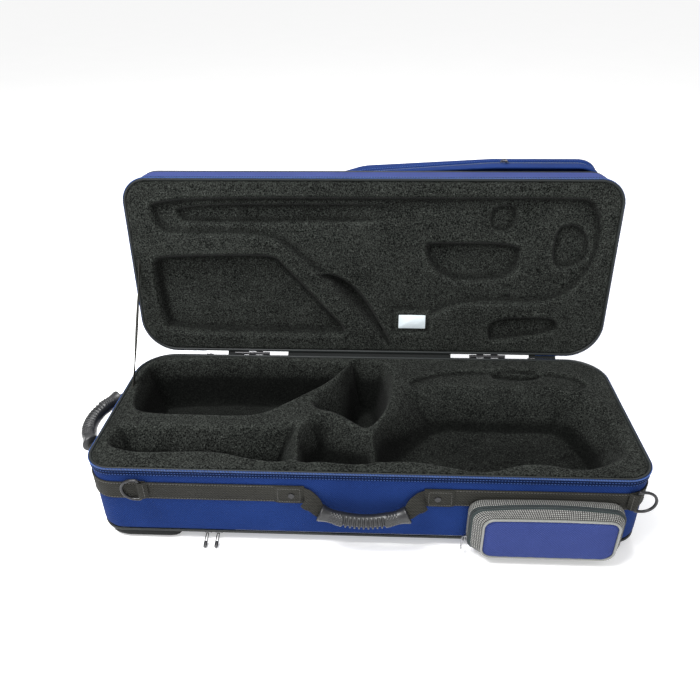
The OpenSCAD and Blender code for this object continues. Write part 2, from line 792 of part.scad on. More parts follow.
module harness_pouch() color(black) difference() {
    linear_extrude(pouch_t - touch) pouch_plan();
    translate([0, 0, pouch_wall]) linear_extrude(pouch_t) pouch_plan(pouch_wall);
}

strap_pad_w = 58;
module backpack_straps() color(web) for (s = [-1, 1])
    translate([-case_l/2 + 150, s*(strap_pad_w/2 + 16) - strap_pad_w/2, pouch_wall + 0.2])
        cube([390, strap_pad_w, pouch_t - pouch_wall - 1.2]);

// the pouch's zip runs under the rounded front edge, beside the full-width end
harness_zip_x0 = pouch_x0 + pouch_end_l + 2;
harness_zip_l = 84;
harness_zip_w = 3.6;
harness_zip_h = 7;
harness_zip_y = front_y + edge_r;
module harness_zip() color(black) translate([harness_zip_x0, harness_zip_y, pouch_t - harness_zip_h])
    cube([harness_zip_l, harness_zip_w, harness_zip_h]);

harness_pull_l = 24;
harness_pull_lean = 17;    // how far the pulls point down, to lie on the surface
function harness_slider_x(k) = harness_zip_x0 + 42 + (slider_l + 3)*k;
module at_harness_slider(k) translate([
    harness_slider_x(k),
    harness_zip_y - slider_w/2 - 0.1,
    pouch_t - harness_zip_h + slider_t/2 + 0.5
]) children();

module harness_slider(k) at_harness_slider(k) {
    slider();
    translate([0, -slider_w/2, 0]) rotate([90, 0, 0]) bridge();
}

module harness_pull(k) at_harness_slider(k) translate([0, -slider_w/2 - bar_h, 0])
    rotate([harness_pull_lean, 0, 0]) pull(harness_pull_l);

module left_harness_slider() color(steel) harness_slider(0);

module left_harness_pull() color(black) harness_pull(0);

module right_harness_slider() color(steel) harness_slider(1);

module right_harness_pull() color(black) harness_pull(1);

// ---- lid stay ----

stay_base_y = 52;      // where the stay is sewn to the base, from the middle of the case
stay_lid_w = 172;      // where it is sewn to the lid, from the hinge axis
anchor_w = 14;
anchor_h = 8;
anchor_in = 4;
anchor_x = left_x + anchor_in/2;

// a sewn end of the stay, tucked between the lining and the wall, z up to 0, grown by g
module stay_end(g = 0) translate([-anchor_in/2 - g, -anchor_w/2 - g, -anchor_h - g])
    cube([anchor_in + 2*g, anchor_w + 2*g, anchor_h + 2*g]);

module at_base_stay() translate([anchor_x, stay_base_y, lining_top + 0.5]) children();

module at_lid_stay() translate([anchor_x, hinge_y - stay_lid_w, lid_rim_z + lining_drop - 0.5])
    mirror([0, 0, 1]) children();

module base_stay_anchor() color(web) at_base_stay() stay_end();

module lid_stay_anchor() color(web) on_lid() at_lid_stay() stay_end();

// the lid's end of the stay, as [y, z] on the opened lid
stay_lid_up = lid_rim_z + lining_drop - 0.5 - hinge_z;
stay_a = [stay_base_y, lining_top - 1];
stay_b = [
    hinge_y - stay_lid_w*cos(lid_open) + stay_lid_up*sin(lid_open),
    hinge_z + stay_lid_w*sin(lid_open) + stay_lid_up*cos(lid_open)
];
stay_short = 10;       // how far the straight stay stops short of the lid
module lid_stay() color(web) translate([anchor_x, stay_a[0], stay_a[1]])
    rotate([atan2(stay_b[1] - stay_a[1], stay_b[0] - stay_a[0]), 0, 0])
        translate([-stay_t/2, 0, -stay_w/2]) cube([stay_t, norm(stay_b - stay_a) - stay_short, stay_w]);

// ---- nodes ----

base_core();
base_cover();
base_lining();
base_rim_binding();
base_edge_piping();
base_zip();
side_band();
ring_tabs();
front_handle_anchors();
side_handle_anchors();
handle_rivets();
hinge_base_leaves();
hinge_pins();
harness_pouch();
harness_zip();
backpack_straps();
pocket_back();
base_stay_anchor();
lid_core();
lid_cover();
lid_lining();
lid_rim_binding();
lid_edge_piping();
lid_zip();
lining_label();
hinge_lid_leaves();
lid_pocket_back();
lid_pocket_flap();
lid_pocket_piping();
lid_stay_anchor();
lid_stay();
front_handle_grip();
front_handle_straps();
side_handle_grip();
side_handle_straps();
left_ring();
right_ring();
left_main_slider();
left_main_pull();
right_main_slider();
right_main_pull();
pocket_flap();
pocket_face();
pocket_piping();
pocket_slider();
pocket_pull();
lid_pocket_slider();
lid_pocket_pull();
left_harness_slider();
left_harness_pull();
right_harness_slider();
right_harness_pull();
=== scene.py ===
"""Looks of an open padded saxophone case: fabric shells, pressed plush linings, zips, webbing, pockets and handles.

All sizes in this file are millimetres until a mesh is made. Pieces of the lid are drawn with the lid shut and
then swung open round the hinge.
"""

import json
import math

import bmesh
import bpy
import numpy as np
from mathutils import Matrix, Vector


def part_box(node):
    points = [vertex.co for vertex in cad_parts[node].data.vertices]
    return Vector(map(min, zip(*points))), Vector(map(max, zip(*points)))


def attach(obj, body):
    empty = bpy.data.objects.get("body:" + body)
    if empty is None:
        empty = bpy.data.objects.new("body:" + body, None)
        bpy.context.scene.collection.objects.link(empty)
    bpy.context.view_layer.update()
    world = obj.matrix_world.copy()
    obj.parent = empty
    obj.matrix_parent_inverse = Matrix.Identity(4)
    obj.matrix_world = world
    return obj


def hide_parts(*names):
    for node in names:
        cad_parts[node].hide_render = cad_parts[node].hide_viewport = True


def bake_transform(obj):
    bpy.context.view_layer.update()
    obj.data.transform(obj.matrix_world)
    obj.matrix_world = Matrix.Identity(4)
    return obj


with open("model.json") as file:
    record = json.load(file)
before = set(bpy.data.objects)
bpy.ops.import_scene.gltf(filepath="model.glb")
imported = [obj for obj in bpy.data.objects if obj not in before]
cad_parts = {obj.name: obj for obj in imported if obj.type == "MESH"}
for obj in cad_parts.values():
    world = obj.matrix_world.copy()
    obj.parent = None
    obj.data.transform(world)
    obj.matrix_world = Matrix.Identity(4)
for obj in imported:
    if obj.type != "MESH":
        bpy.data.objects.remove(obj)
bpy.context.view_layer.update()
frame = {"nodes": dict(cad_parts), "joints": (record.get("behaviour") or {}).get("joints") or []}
bpy.ops.object.select_all(action="DESELECT")

MM = 0.001


# ---- sizes taken from the frame ----

def box_mm(node):
    """Lowest and highest corner of a CAD node, in millimetres."""
    low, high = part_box(node)
    return np.array(low)/MM, np.array(high)/MM


cover_low, cover_high = box_mm("base_cover")
CASE_L = cover_high[0] - cover_low[0]
CASE_W = cover_high[1] - cover_low[1]
FRONT_Y = cover_low[1]
BASE_Z = cover_low[2]
RIM_Z = box_mm("base_rim_binding")[1][2]
BINDING_Z = cover_high[2]
FRONT_R = 42
BACK_R = 60
EDGE_R = 14
WALL = 8
LINING_TOP = box_mm("base_lining")[1][2]
BAND_Z = (box_mm("side_band")[0][2] + box_mm("side_band")[1][2])/2
BAND_W = box_mm("side_band")[1][2] - box_mm("side_band")[0][2]

JOINTS = {joint["name"]: joint for joint in frame["joints"]}
HINGE = Vector(JOINTS["lid_hinge"]["pos_m"])
LID_ANGLE = math.radians(JOINTS["lid_hinge"]["range_deg"][1])
LID = Matrix.Translation(HINGE) @ Matrix.Rotation(-LID_ANGLE, 4, "X") @ Matrix.Translation(-HINGE)
LID_RIM_Z = 2*HINGE.z/MM - RIM_Z


def shut_box(node):
    """Box of a lid node with the lid shut, in millimetres."""
    back = LID.inverted()
    points = np.array([back @ v.co for v in frame["nodes"][node].data.vertices])/MM
    return points.min(0), points.max(0)


LID_TOP_Z = shut_box("lid_cover")[1][2]


# ---- node groups and materials ----

def pattern_group(name, coordinates="Object"):
    """An empty pattern group; returns it, its coordinates and its thread count and unevenness."""
    group = bpy.data.node_groups.new(name, "ShaderNodeTree")
    for way, labels in (("INPUT", ("Threads", "Unevenness")), ("OUTPUT", ("Mask", "Height"))):
        for label in labels:
            group.interface.new_socket(label, in_out=way, socket_type="NodeSocketFloat")
    source = group.nodes.new("NodeGroupInput").outputs
    where = group.nodes.new("ShaderNodeTexCoord").outputs[coordinates]
    return group, where, source["Threads"], source["Unevenness"]


def give(group, mask, height):
    """Puts a mask and a height out of a pattern group."""
    sink = group.nodes.new("NodeGroupOutput")
    group.links.new(mask, sink.inputs["Mask"])
    group.links.new(height, sink.inputs["Height"])
    return group


def math_node(tree, kind, a, b=None):
    """A math node on sockets or numbers; returns its output."""
    node = tree.nodes.new("ShaderNodeMath")
    node.operation = kind
    for index, value in enumerate((a, b)):
        if isinstance(value, (int, float)):
            node.inputs[index].default_value = value
        elif value is not None:
            tree.links.new(value, node.inputs[index])
    return node.outputs[0]


def plus(tree, a, b):
    """The sum of two sockets or numbers."""
    return math_node(tree, "ADD", a, b)


def minus(tree, a, b):
    """The difference of two sockets or numbers."""
    return math_node(tree, "SUBTRACT", a, b)


def times(tree, a, b):
    """The product of two sockets or numbers."""
    return math_node(tree, "MULTIPLY", a, b)


def noise(tree, vector, scale, detail=3.0, rough=0.6):
    """A noise texture on a vector; returns its factor."""
    node = tree.nodes.new("ShaderNodeTexNoise")
    node.inputs["Detail"].default_value = detail
    node.inputs["Roughness"].default_value = rough
    tree.links.new(vector, node.inputs["Vector"])
    if isinstance(scale, (int, float)):
        node.inputs["Scale"].default_value = scale
    else:
        tree.links.new(scale, node.inputs["Scale"])
    return node.outputs["Fac"]


def phase(tree, vector, direction, scale):
    """Sine of the way along a direction, with so many threads to the metre."""
    dot = tree.nodes.new("ShaderNodeVectorMath")
    dot.operation = "DOT_PRODUCT"
    tree.links.new(vector, dot.inputs[0])
    dot.inputs[1].default_value = direction
    turns = times(tree, dot.outputs["Value"], scale)
    return math_node(tree, "SINE", times(tree, turns, math.pi))


def make_weave():
    """Plain weave: over and under threads with uneven thickness. The mask is 1 on the light threads."""
    group, where, threads, unevenness = pattern_group("weave")
    warp = phase(group, where, (1, 1, 0), threads)
    weft = phase(group, where, (0, 0.35, 1), threads)
    cloth = math_node(group, "MULTIPLY_ADD", times(group, warp, weft), 0.5)
    group.nodes[-1].inputs[2].default_value = 0.5
    grain = noise(group, where, 420.0, 4.0, 0.7)
    patch = noise(group, where, 9.0, 2.0)
    uneven = times(group, minus(group, grain, 0.5), unevenness)
    height = plus(group, cloth, uneven)
    mask = times(group, plus(group, height, patch), 0.6)
    return give(group, math_node(group, "MAXIMUM", mask, 0.0), height)


def make_twill():
    """Twill webbing: slanting ribs crossed by fainter level ribs."""
    group, where, threads, unevenness = pattern_group("twill")
    slant = phase(group, where, (1, 1, 1), threads)
    cross = phase(group, where, (0, 0, 1), threads)
    grain = noise(group, where, 500.0, 4.0, 0.7)
    patch = noise(group, where, 12.0, 2.0)
    ribs = times(group, plus(group, slant, times(group, cross, 0.5)), 0.33)
    height = plus(group, plus(group, ribs, 0.5), times(
        group, minus(group, grain, 0.5), unevenness))
    return give(group, times(group, plus(group, height, patch), 0.55), height)


def make_pile():
    """Short plush pile: mottled fibres, specks of lint and brushed patches; a per-point attribute of the linings
    darkens it with painted shade and lightens raised edges with a painted highlight.
    """
    group, where, threads, unevenness = pattern_group("pile")
    pressed = group.nodes.new("ShaderNodeAttribute")
    pressed.attribute_name = "pressed"
    fibres = noise(group, where, threads, 4.0, 0.75)
    tufts = noise(group, where, 150.0, 3.0, 0.65)
    brushed = noise(group, where, 16.0, 3.0, 0.6)
    lint = times(group, minus(group, noise(group, where, 330.0, 2.0, 0.5), 0.64), 9.0)
    lint = math_node(group, "MINIMUM", math_node(group, "MAXIMUM", lint, 0.0), 1.0)
    coarse = plus(group, tufts, times(group, brushed, 0.8))
    coarse = times(group, coarse, unevenness)
    tone = plus(group, times(group, fibres, 3.0), coarse)
    tone = minus(group, tone, 1.62)
    tone = plus(group, math_node(group, "MAXIMUM", tone, 0.0), times(group, lint, 0.8))
    # painted shade and highlight: the attribute darkens the pile where shade falls and lightens raised edges
    light = minus(group, 1.0, times(group, pressed.outputs["Fac"], 0.86))
    height = plus(group, times(group, fibres, 0.8), times(
        group, tufts, 0.7))
    return give(group, times(group, tone, light), height)


def make_mottle():
    """Fine grain and broad scuffs for rubber, metal and moulded parts."""
    group, where, threads, unevenness = pattern_group("mottle")
    fine = noise(group, where, threads, 5.0, 0.7)
    broad = noise(group, where, 35.0, 3.0, 0.6)
    return give(group, plus(group, times(group, fine, 0.5), times(group, broad, unevenness)), fine)


def make_spacer():
    """Spacer mesh on the piece's own UV: short pale ribs in rows on a dark ground."""
    group, where, threads, unevenness = pattern_group("spacer", "UV")
    bars = phase(group, where, (1, 0, 0), threads)
    rows = phase(group, where, (0, 1, 0), times(group, threads, 1.3))
    bars = times(group, bars, bars)
    rows = times(group, rows, rows)
    rib = times(group, bars, math_node(group, "POWER", rows, 0.6))
    grain = noise(group, where, 260.0, 4.0, 0.7)
    uneven = times(group, minus(group, grain, 0.5), unevenness)
    return give(group, math_node(group, "MAXIMUM", plus(group, rib, uneven), 0.0), rib)


PATTERNS = {"weave": make_weave(), "twill": make_twill(), "pile": make_pile(),
            "mottle": make_mottle(), "spacer": make_spacer()}


def finish_of(name, pattern, dark, light, threads, rough, relief, uneven=0.5, **shader):
    """A material: a pattern's mask mixes two colours and shifts roughness, and its height raises the surface."""
    made = bpy.data.materials.new(name)
    made.use_nodes = True
    tree = made.node_tree
    surface = tree.nodes["Principled BSDF"]
    look = tree.nodes.new("ShaderNodeGroup")
    look.node_tree = PATTERNS[pattern]
    look.inputs["Threads"].default_value = threads
    look.inputs["Unevenness"].default_value = uneven
    mix = tree.nodes.new("ShaderNodeMix")
    mix.data_type = "RGBA"
    mix.inputs[6].default_value = (*dark, 1)
    mix.inputs[7].default_value = (*light, 1)
    tree.links.new(look.outputs["Mask"], mix.inputs[0])
    tree.links.new(mix.outputs[2], surface.inputs["Base Color"])
    spread = tree.nodes.new("ShaderNodeMapRange")
    spread.inputs["To Min"].default_value = rough - 0.08
    spread.inputs["To Max"].default_value = rough + 0.06
    tree.links.new(look.outputs["Mask"], spread.inputs["Value"])
    tree.links.new(spread.outputs["Result"], surface.inputs["Roughness"])
    bump = tree.nodes.new("ShaderNodeBump")
    bump.inputs["Strength"].default_value = 0.8
    bump.inputs["Distance"].default_value = relief*MM
    tree.links.new(look.outputs["Height"], bump.inputs["Height"])
    tree.links.new(bump.outputs["Normal"], surface.inputs["Normal"])
    for socket, value in shader.items():
        surface.inputs[socket.replace("_", " ")].default_value = value
    return made


PLUSH = finish_of("plush", "pile", (0.0012, 0.0015, 0.0013), (0.070, 0.077, 0.069), 460, 0.95, 1.5, uneven=0.4,
                  Sheen_Weight=0.03, Sheen_Roughness=0.5, Specular_IOR_Level=0.03)
NAVY = finish_of("navy_weave", "weave", (0.0018, 0.0085, 0.048), (0.013, 0.037, 0.160), 520, 0.85, 0.6,
                 uneven=1.0, Sheen_Weight=0.01, Specular_IOR_Level=0.05)
# A lighter copy of the navy weave, painted light for the lid's cover, whose top catches more light; the front
# pocket's face pad is made with it too.
NAVY_LIT = finish_of("blue_weave", "weave", (0.009, 0.017, 0.080), (0.042, 0.062, 0.210), 520, 0.82, 0.6,
                 uneven=1.0, Sheen_Weight=0.02, Specular_IOR_Level=0.06)
# The zip tape's own dark blue, darkened further as painted shade for the shade under the rim piping.
SHADED_BLUE_TAPE = finish_of("blue_tape", "weave", (0.0008, 0.0032, 0.016), (0.004, 0.012, 0.050), 1100, 0.8, 0.25,
                      Specular_IOR_Level=0.05)
BLUE_THREAD = finish_of("blue_thread", "mottle", (0.020, 0.050, 0.17), (0.07, 0.14, 0.38), 900, 0.6, 0.1,
                        Specular_IOR_Level=0.2)
PIPING = finish_of("piping", "weave", (0.002, 0.003, 0.003), (0.014, 0.018, 0.018), 1300, 0.5, 0.12,
                   Specular_IOR_Level=0.35)
GREY_PIPING = finish_of("grey_piping", "weave", (0.075, 0.076, 0.070), (0.24, 0.245, 0.23), 1200, 0.34, 0.12,
                        Coat_Weight=0.3)
WEBBING = finish_of("webbing", "twill", (0.002, 0.002, 0.002), (0.034, 0.0335, 0.0285), 420, 0.75, 0.9,
                    uneven=1.1, Specular_IOR_Level=0.15)
DARK_THREAD = finish_of("dark_thread", "mottle", (0.02, 0.019, 0.017), (0.10, 0.098, 0.088), 900, 0.6, 0.1)
BLACK_CLOTH = finish_of("black_cloth", "weave", (0.002, 0.002, 0.002), (0.014, 0.016, 0.016), 800, 0.75, 0.4,
                        Specular_IOR_Level=0.15)
BLACK_TAPE = finish_of("black_tape", "weave", (0.004, 0.008, 0.009), (0.026, 0.038, 0.038), 1100, 0.6, 0.25,
                       Specular_IOR_Level=0.25)
COIL = finish_of("zip_coil", "mottle", (0.012, 0.015, 0.017), (0.06, 0.07, 0.072), 500, 0.4, 0.05)
SPACER = finish_of("spacer_mesh", "spacer", (0.002, 0.002, 0.002), (0.36, 0.36, 0.34), 340, 0.8, 0.9)
RUBBER = finish_of("grip_rubber", "mottle", (0.002, 0.002, 0.003), (0.014, 0.015, 0.017), 420, 0.40, 0.15,
                   Specular_IOR_Level=0.6)
DARK_METAL = finish_of("dark_metal", "mottle", (0.006, 0.006, 0.007), (0.028, 0.028, 0.030), 260, 0.3, 0.04,
                       Metallic=0.3)
STEEL = finish_of("zip_metal", "mottle", (0.16, 0.16, 0.17), (0.44, 0.44, 0.45), 260, 0.28, 0.03, Metallic=1.0)
LABEL = finish_of("white_label", "weave", (0.46, 0.54, 0.58), (0.74, 0.80, 0.83), 1300, 0.6, 0.08)
FOAM = finish_of("foam_board", "mottle", (0.008, 0.008, 0.008), (0.022, 0.022, 0.022), 400, 0.9, 0.2)


# ---- mesh helpers ----

def piece(name, points, faces, finish, body, slot, lid=False, uv=None, smooth=60):
    """A mesh piece made from points in millimetres; normals face outwards. With lid, it is swung open."""
    mesh = bpy.data.meshes.new(name)
    mesh.from_pydata((np.asarray(points, float)*MM).tolist(), [], [list(map(int, f)) for f in faces])
    if uv is not None:
        layer = mesh.uv_layers.new(name="UVMap")
        loops = np.zeros(len(mesh.loops), int)
        mesh.loops.foreach_get("vertex_index", loops)
        layer.data.foreach_set("uv", (np.asarray(uv, float)*MM)[loops].ravel())
    if lid:
        mesh.transform(LID)
    work = bmesh.new()
    work.from_mesh(mesh)
    bmesh.ops.recalc_face_normals(work, faces=work.faces)
    work.to_mesh(mesh)
    work.free()
    obj = bpy.data.objects.new(name, mesh)
    bpy.context.scene.collection.objects.link(obj)
    mesh.materials.append(finish)
    if smooth:
        mesh.shade_smooth()
        mesh.set_sharp_from_angle(angle=math.radians(smooth))
    if body:
        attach(obj, body)
    return obj


def loft(rings, caps=True, closed=False):
    """Points, faces and UV of a skin over rings of equal length; UV runs round and along, in millimetres."""
    rings = np.asarray(rings, float)
    m, n = rings.shape[:2]
    rows = np.arange(m if closed else m - 1)[:, None]
    cols = np.arange(n)[None, :]
    after = (rows + 1) % m
    side = (cols + 1) % n
    faces = np.stack([rows*n + cols, rows*n + side, after*n + side, after*n + cols], -1).reshape(-1, 4).tolist()
    if caps and not closed:
        faces.append(list(range(n))[::-1])
        faces.append(list(range((m - 1)*n, m*n)))
    around, along, deep = (run_of(line) for line in (rings[m//2], rings.mean(1), rings[:, 0]))
    uv = np.stack(np.broadcast_arrays(around[None, :], np.maximum(along, deep)[:, None]), -1).reshape(-1, 2)
    return rings.reshape(-1, 3), faces, uv


def skin(name, rings, finish, body, slot, lid=False, closed=False, smooth=60):
    """A piece lofted over rings."""
    points, faces, uv = loft(rings, closed=closed)
    return piece(name, points, faces, finish, body, slot, lid=lid, uv=uv, smooth=smooth)


def join(lofts):
    """Points and faces of several lofts taken together."""
    points, faces, start = [], [], 0
    for part in lofts:
        points.append(part[0])
        faces += [[i + start for i in face] for face in part[1]]
        start += len(part[0])
    return np.vstack(points), faces


def unit(vectors):
    """Vectors brought to length one."""
    return vectors/np.linalg.norm(vectors, axis=-1, keepdims=True)


def headings(path):
    """Directions along an open path."""
    return unit(np.gradient(path, axis=0))


def run_of(points):
    """Distance along a path at each of its points."""
    return np.r_[0, np.cumsum(np.linalg.norm(np.diff(points, axis=0), axis=1))]


def read_at(at, run, rows):
    """Rows of values read at distances along a path."""
    return np.stack([np.interp(at, run, column) for column in rows.T], 1)


def even_ring(ring, count):
    """A closed outline as so many points in even steps."""
    closed = np.vstack([ring, ring[:1]])
    run = run_of(closed)
    return read_at(np.arange(count)*run[-1]/count, run, closed)


def ring_row(ring, step, shift):
    """Places and headings in even steps along a closed ring."""
    closed = np.vstack([ring, ring[:1]])
    run = run_of(closed)
    at = (np.arange(int(run[-1]/step)) + shift)*step
    return read_at(at, run, closed), unit(read_at(at, run[:-1], np.gradient(ring, axis=0)))


def circle(radius, n=10):
    """A round section."""
    turn = np.arange(n)*2*math.pi/n
    return np.stack([np.cos(turn), np.sin(turn)], 1)*radius


def strip(width, height, soft=0.4):
    """A flat section with softened edges: width across, height up."""
    w, h, s = width/2, height/2, soft
    return np.array([(-w + s, -h), (w - s, -h), (w, -h + s), (w, h - s), (w - s, h), (-w + s, h),
                     (-w, h - s), (-w, -h + s)])


def sweep(path, across, up, section):
    """Rings of a section carried along a path; across and up are its directions, one for all or one a point."""
    path, section = np.asarray(path, float), np.asarray(section, float)
    across, up = (np.broadcast_to(a, path.shape) for a in (across, up))
    if section.ndim == 2:
        section = np.broadcast_to(section, (len(path), *section.shape))
    return path[:, None] + section[:, :, :1]*across[:, None] + section[:, :, 1:]*up[:, None]


def tube(name, path, radius, finish, body, slot, closed=False, lid=False):
    """A round cord along a path of points."""
    path = np.asarray(path, float)
    ahead = unit(np.roll(path, -1, 0) - np.roll(path, 1, 0)) if closed else headings(path)
    guide = np.eye(3)[np.argmin(np.abs(ahead).max(0))]
    across = unit(np.cross(ahead, guide))
    return skin(name, sweep(path, across, np.cross(across, ahead), circle(radius)), finish, body, slot, lid,
                closed=closed)


def curve(points, count):
    """A smooth open curve through a few points."""
    points = np.asarray(points, float)
    ends = np.vstack([2*points[0] - points[1], points, 2*points[-1] - points[-2]])
    out = []
    spans = len(points) - 1
    for t in np.linspace(0, spans, count):
        i = min(int(t), spans - 1)
        u = t - i
        a, b, c, d = ends[i:i + 4]
        out.append(0.5*(2*b + (c - a)*u + (2*a - 5*b + 4*c - d)*u*u + (3*b - a - 3*c + d)*u**3))
    return np.array(out)


BAR_TAPER = 0.7


def scatter(name, size, origins, xs, ys, zs, finish, body, slot, lid=False):
    """Small rounded bars, one at each origin, with their long side on xs; size is (long, out, high)."""
    xs, ys, zs = (np.broadcast_to(a, origins.shape) for a in (xs, ys, zs))
    long, out, high = np.array(size)/2
    shape = np.array([(a*long*(BAR_TAPER if b > 0 else 1), b*out, c*high*(BAR_TAPER if b > 0 else 1))
                      for b in (-1, 1) for a, c in ((-1, -1), (1, -1), (1, 1), (-1, 1))])
    points = (origins[:, None] + shape[None, :, :1]*xs[:, None] + shape[None, :, 1:2]*ys[:, None]
              + shape[None, :, 2:]*zs[:, None]).reshape(-1, 3)
    block = np.array([(0, 1, 2, 3), (4, 7, 6, 5), (0, 4, 5, 1), (1, 5, 6, 2), (2, 6, 7, 3), (3, 7, 4, 0)])
    faces = (block[None] + 8*np.arange(len(origins))[:, None, None]).reshape(-1, 4)
    return piece(name, points, faces, finish, body, slot, lid=lid, smooth=0)


def plan_loop(grow, arc=16):
    """The case outline grown outwards: points and outward normals, from the middle of the front to the right."""
    half_l, half_w = CASE_L/2 + grow, CASE_W/2 + grow
    front, back = FRONT_R + grow, BACK_R + grow
    corners = [(half_l - front, front - half_w, front, -90), (half_l - back, half_w - back, back, 0),
               (back - half_l, half_w - back, back, 90), (front - half_l, front - half_w, front, 180)]
    points, normals = [(0, -half_w)], [(0, -1)]
    for x, y, r, start in corners:
        for a in np.radians(np.linspace(start, start + 90, arc)):
            points.append((x + r*math.cos(a), y + r*math.sin(a)))
            normals.append((math.cos(a), math.sin(a)))
    points.append((0, -half_w))
    normals.append((0, -1))
    return np.array(points), np.array(normals)


def plan_length():
    """Length of the outline."""
    return np.linalg.norm(np.diff(plan_loop(0.0)[0], axis=0), axis=1).sum()


def plan_along(grow, start, end, step, z):
    """Points, outward normals and tangents along the outline, between two distances from the front's middle."""
    points, normals = plan_loop(grow, 30)
    run = run_of(points)
    count = max(2, round((end - start)/step) + 1)
    at = np.linspace(start, end, count)*run[-1]/plan_length() % run[-1]
    place = np.c_[read_at(at, run, points), np.full(count, float(z))]
    out = unit(np.c_[read_at(at, run, normals), np.zeros(count)])
    return place, out, np.cross([0, 0, 1.0], out)


def plan_ring(grow, z, step=5.0):
    """A closed ring of points along the outline."""
    length = plan_length()
    return plan_along(grow, 0, length*(1 - 1/round(length/step)), step, z)[0]


UP = np.array([0, 0, 1.0])


# ---- pressed plush linings ----

def soften(points, rounds=3):
    """Cuts the corners of a closed outline until it runs smoothly."""
    points = np.asarray(points, float)
    for _ in range(rounds):
        after = np.roll(points, -1, 0)
        points = np.stack([0.75*points + 0.25*after, 0.25*points + 0.75*after], 1).reshape(-1, 2)
    return points


def depth_inside(outline, x, y, rounds=3):
    """Distance to a smooth outline, positive inside it."""
    points = soften(outline, rounds)
    nearest = np.full(x.shape, 1e9)
    within = np.zeros(x.shape, bool)
    for (ax, ay), (bx, by) in zip(points, np.roll(points, -1, 0)):
        dx, dy = bx - ax, by - ay
        t = np.clip(((x - ax)*dx + (y - ay)*dy)/(dx*dx + dy*dy + 1e-9), 0, 1)
        nearest = np.minimum(nearest, (x - ax - t*dx)**2 + (y - ay - t*dy)**2)
        if ay != by:
            within ^= ((ay > y) != (by > y)) & (x < (y - ay)*dx/dy + ax)
    return np.where(within, 1, -1)*np.sqrt(nearest)


def fall(d, run, brow=6.0, foot=12.0):
    """Share of a pressed wall's drop at distance d inside its edge: a rounded brow, a straight run and a foot."""
    d = d + brow/2
    first = np.clip(d, 0, brow)
    middle = np.clip(d - brow, 0, run)
    last = np.clip(d - brow - run, 0, foot)
    return (first**2/(2*brow) + middle + last - last**2/(2*foot))/(brow/2 + run + foot/2)


def ease(t):
    """A smooth step from 0 to 1."""
    t = np.clip(t, 0, 1)
    return t*t*(3 - 2*t)


def deeper(a, b, blend=5.0):
    """The deeper of two depths, with a soft meeting line."""
    return (a + b + np.sqrt((a - b)**2 + blend**2) - blend)/2


ACCESSORY = [(-395, 143), (-404, 80), (-392, 0), (-375, -20), (-330, -26), (-265, -26), (-207, -28), (-168, -20),
             (-136, 8), (-105, 38), (-74, 66), (-54, 98), (-42, 120), (-28, 142)]
TUBE = [(-400, -62), (-385, -54), (-300, -52), (-220, -54), (-150, -48), (-112, -34), (-98, -60), (-96, -122),
        (-122, -138), (-168, -132), (-215, -119), (-246, -117), (-307, -120), (-338, -123), (-372, -116),
        (-402, -104)]
BOWL = [(-106, -42), (-92, -18), (-62, -14), (-30, -34), (4, -62), (26, -92), (30, -128), (0, -140), (-38, -138),
        (-64, -134), (-92, -139), (-108, -128), (-112, -80)]
BODY = [(4, -78), (22, -30), (40, 30), (52, 64), (88, 84), (130, 100), (186, 94), (285, 96), (350, 92), (392, 34),
        (402, -50), (398, -92), (386, -114), (366, -124), (344, -134), (320, -141), (295, -140), (268, -131),
        (240, -130), (212, -138), (194, -146), (172, -150), (154, -150), (128, -143), (100, -136), (74, -131),
        (46, -131), (16, -134), (2, -118)]
BELL = [(-30, 150), (8, 144), (34, 132), (45, 82), (38, 20), (22, -26), (2, -58), (-20, -42), (-36, -26),
        (-56, -12), (-78, -8), (-98, 12), (-88, 34), (-66, 66), (-46, 104), (-36, 132)]
SHELF = [(60, 72), (96, 100), (150, 118), (240, 120), (290, 112), (330, 118), (378, 92), (372, 60), (300, 60),
         (200, 60), (100, 50)]
KEY_NOTCH = [(212, 104), (222, 126), (262, 130), (300, 124), (306, 104), (270, 94), (236, 94)]


def base_depth(x, y):
    """How deep the base lining is pressed, below its rim."""
    accessory = 94*fall(depth_inside(ACCESSORY, x, y), 5, 7, 20)
    from_front = ease((y + 118)/50)
    tube_run = 7 + 34*from_front
    floor = 64 + 14*ease((-352 - x)/16) - 12*ease(1 - np.abs(x + 330)/26) + 6*ease((x + 240)/60)
    trough = floor*fall(depth_inside(TUBE, x, y), tube_run, 7, 16)
    bowl = 84*fall(depth_inside(BOWL, x, y), 10 + 22*ease((y + 90)/60), 6, 22)
    from_back = ease((y + 60)/120)
    body = (80 - 14*from_back)*fall(depth_inside(BODY, x, y), 8 + 62*from_back + 26*ease((x - 330)/50), 7, 26)
    bell = 100*fall(depth_inside(BELL, x, y), 9 + 38*ease((8 - x - 0.35*y)/46), 6, 18)
    shelf = 7*fall(depth_inside(SHELF, x, y), 1, 4, 3) + 9*fall(depth_inside(KEY_NOTCH, x, y), 3, 4, 5)
    depth = deeper(deeper(accessory, trough), deeper(bowl, body, 10))
    return deeper(deeper(depth, bell, 7), shelf, 3)


def lid_yw(points):
    """Turns outline points given as (x, distance from the hinge axis) into (x, y)."""
    return [(x, HINGE.y/MM - w) for x, w in points]


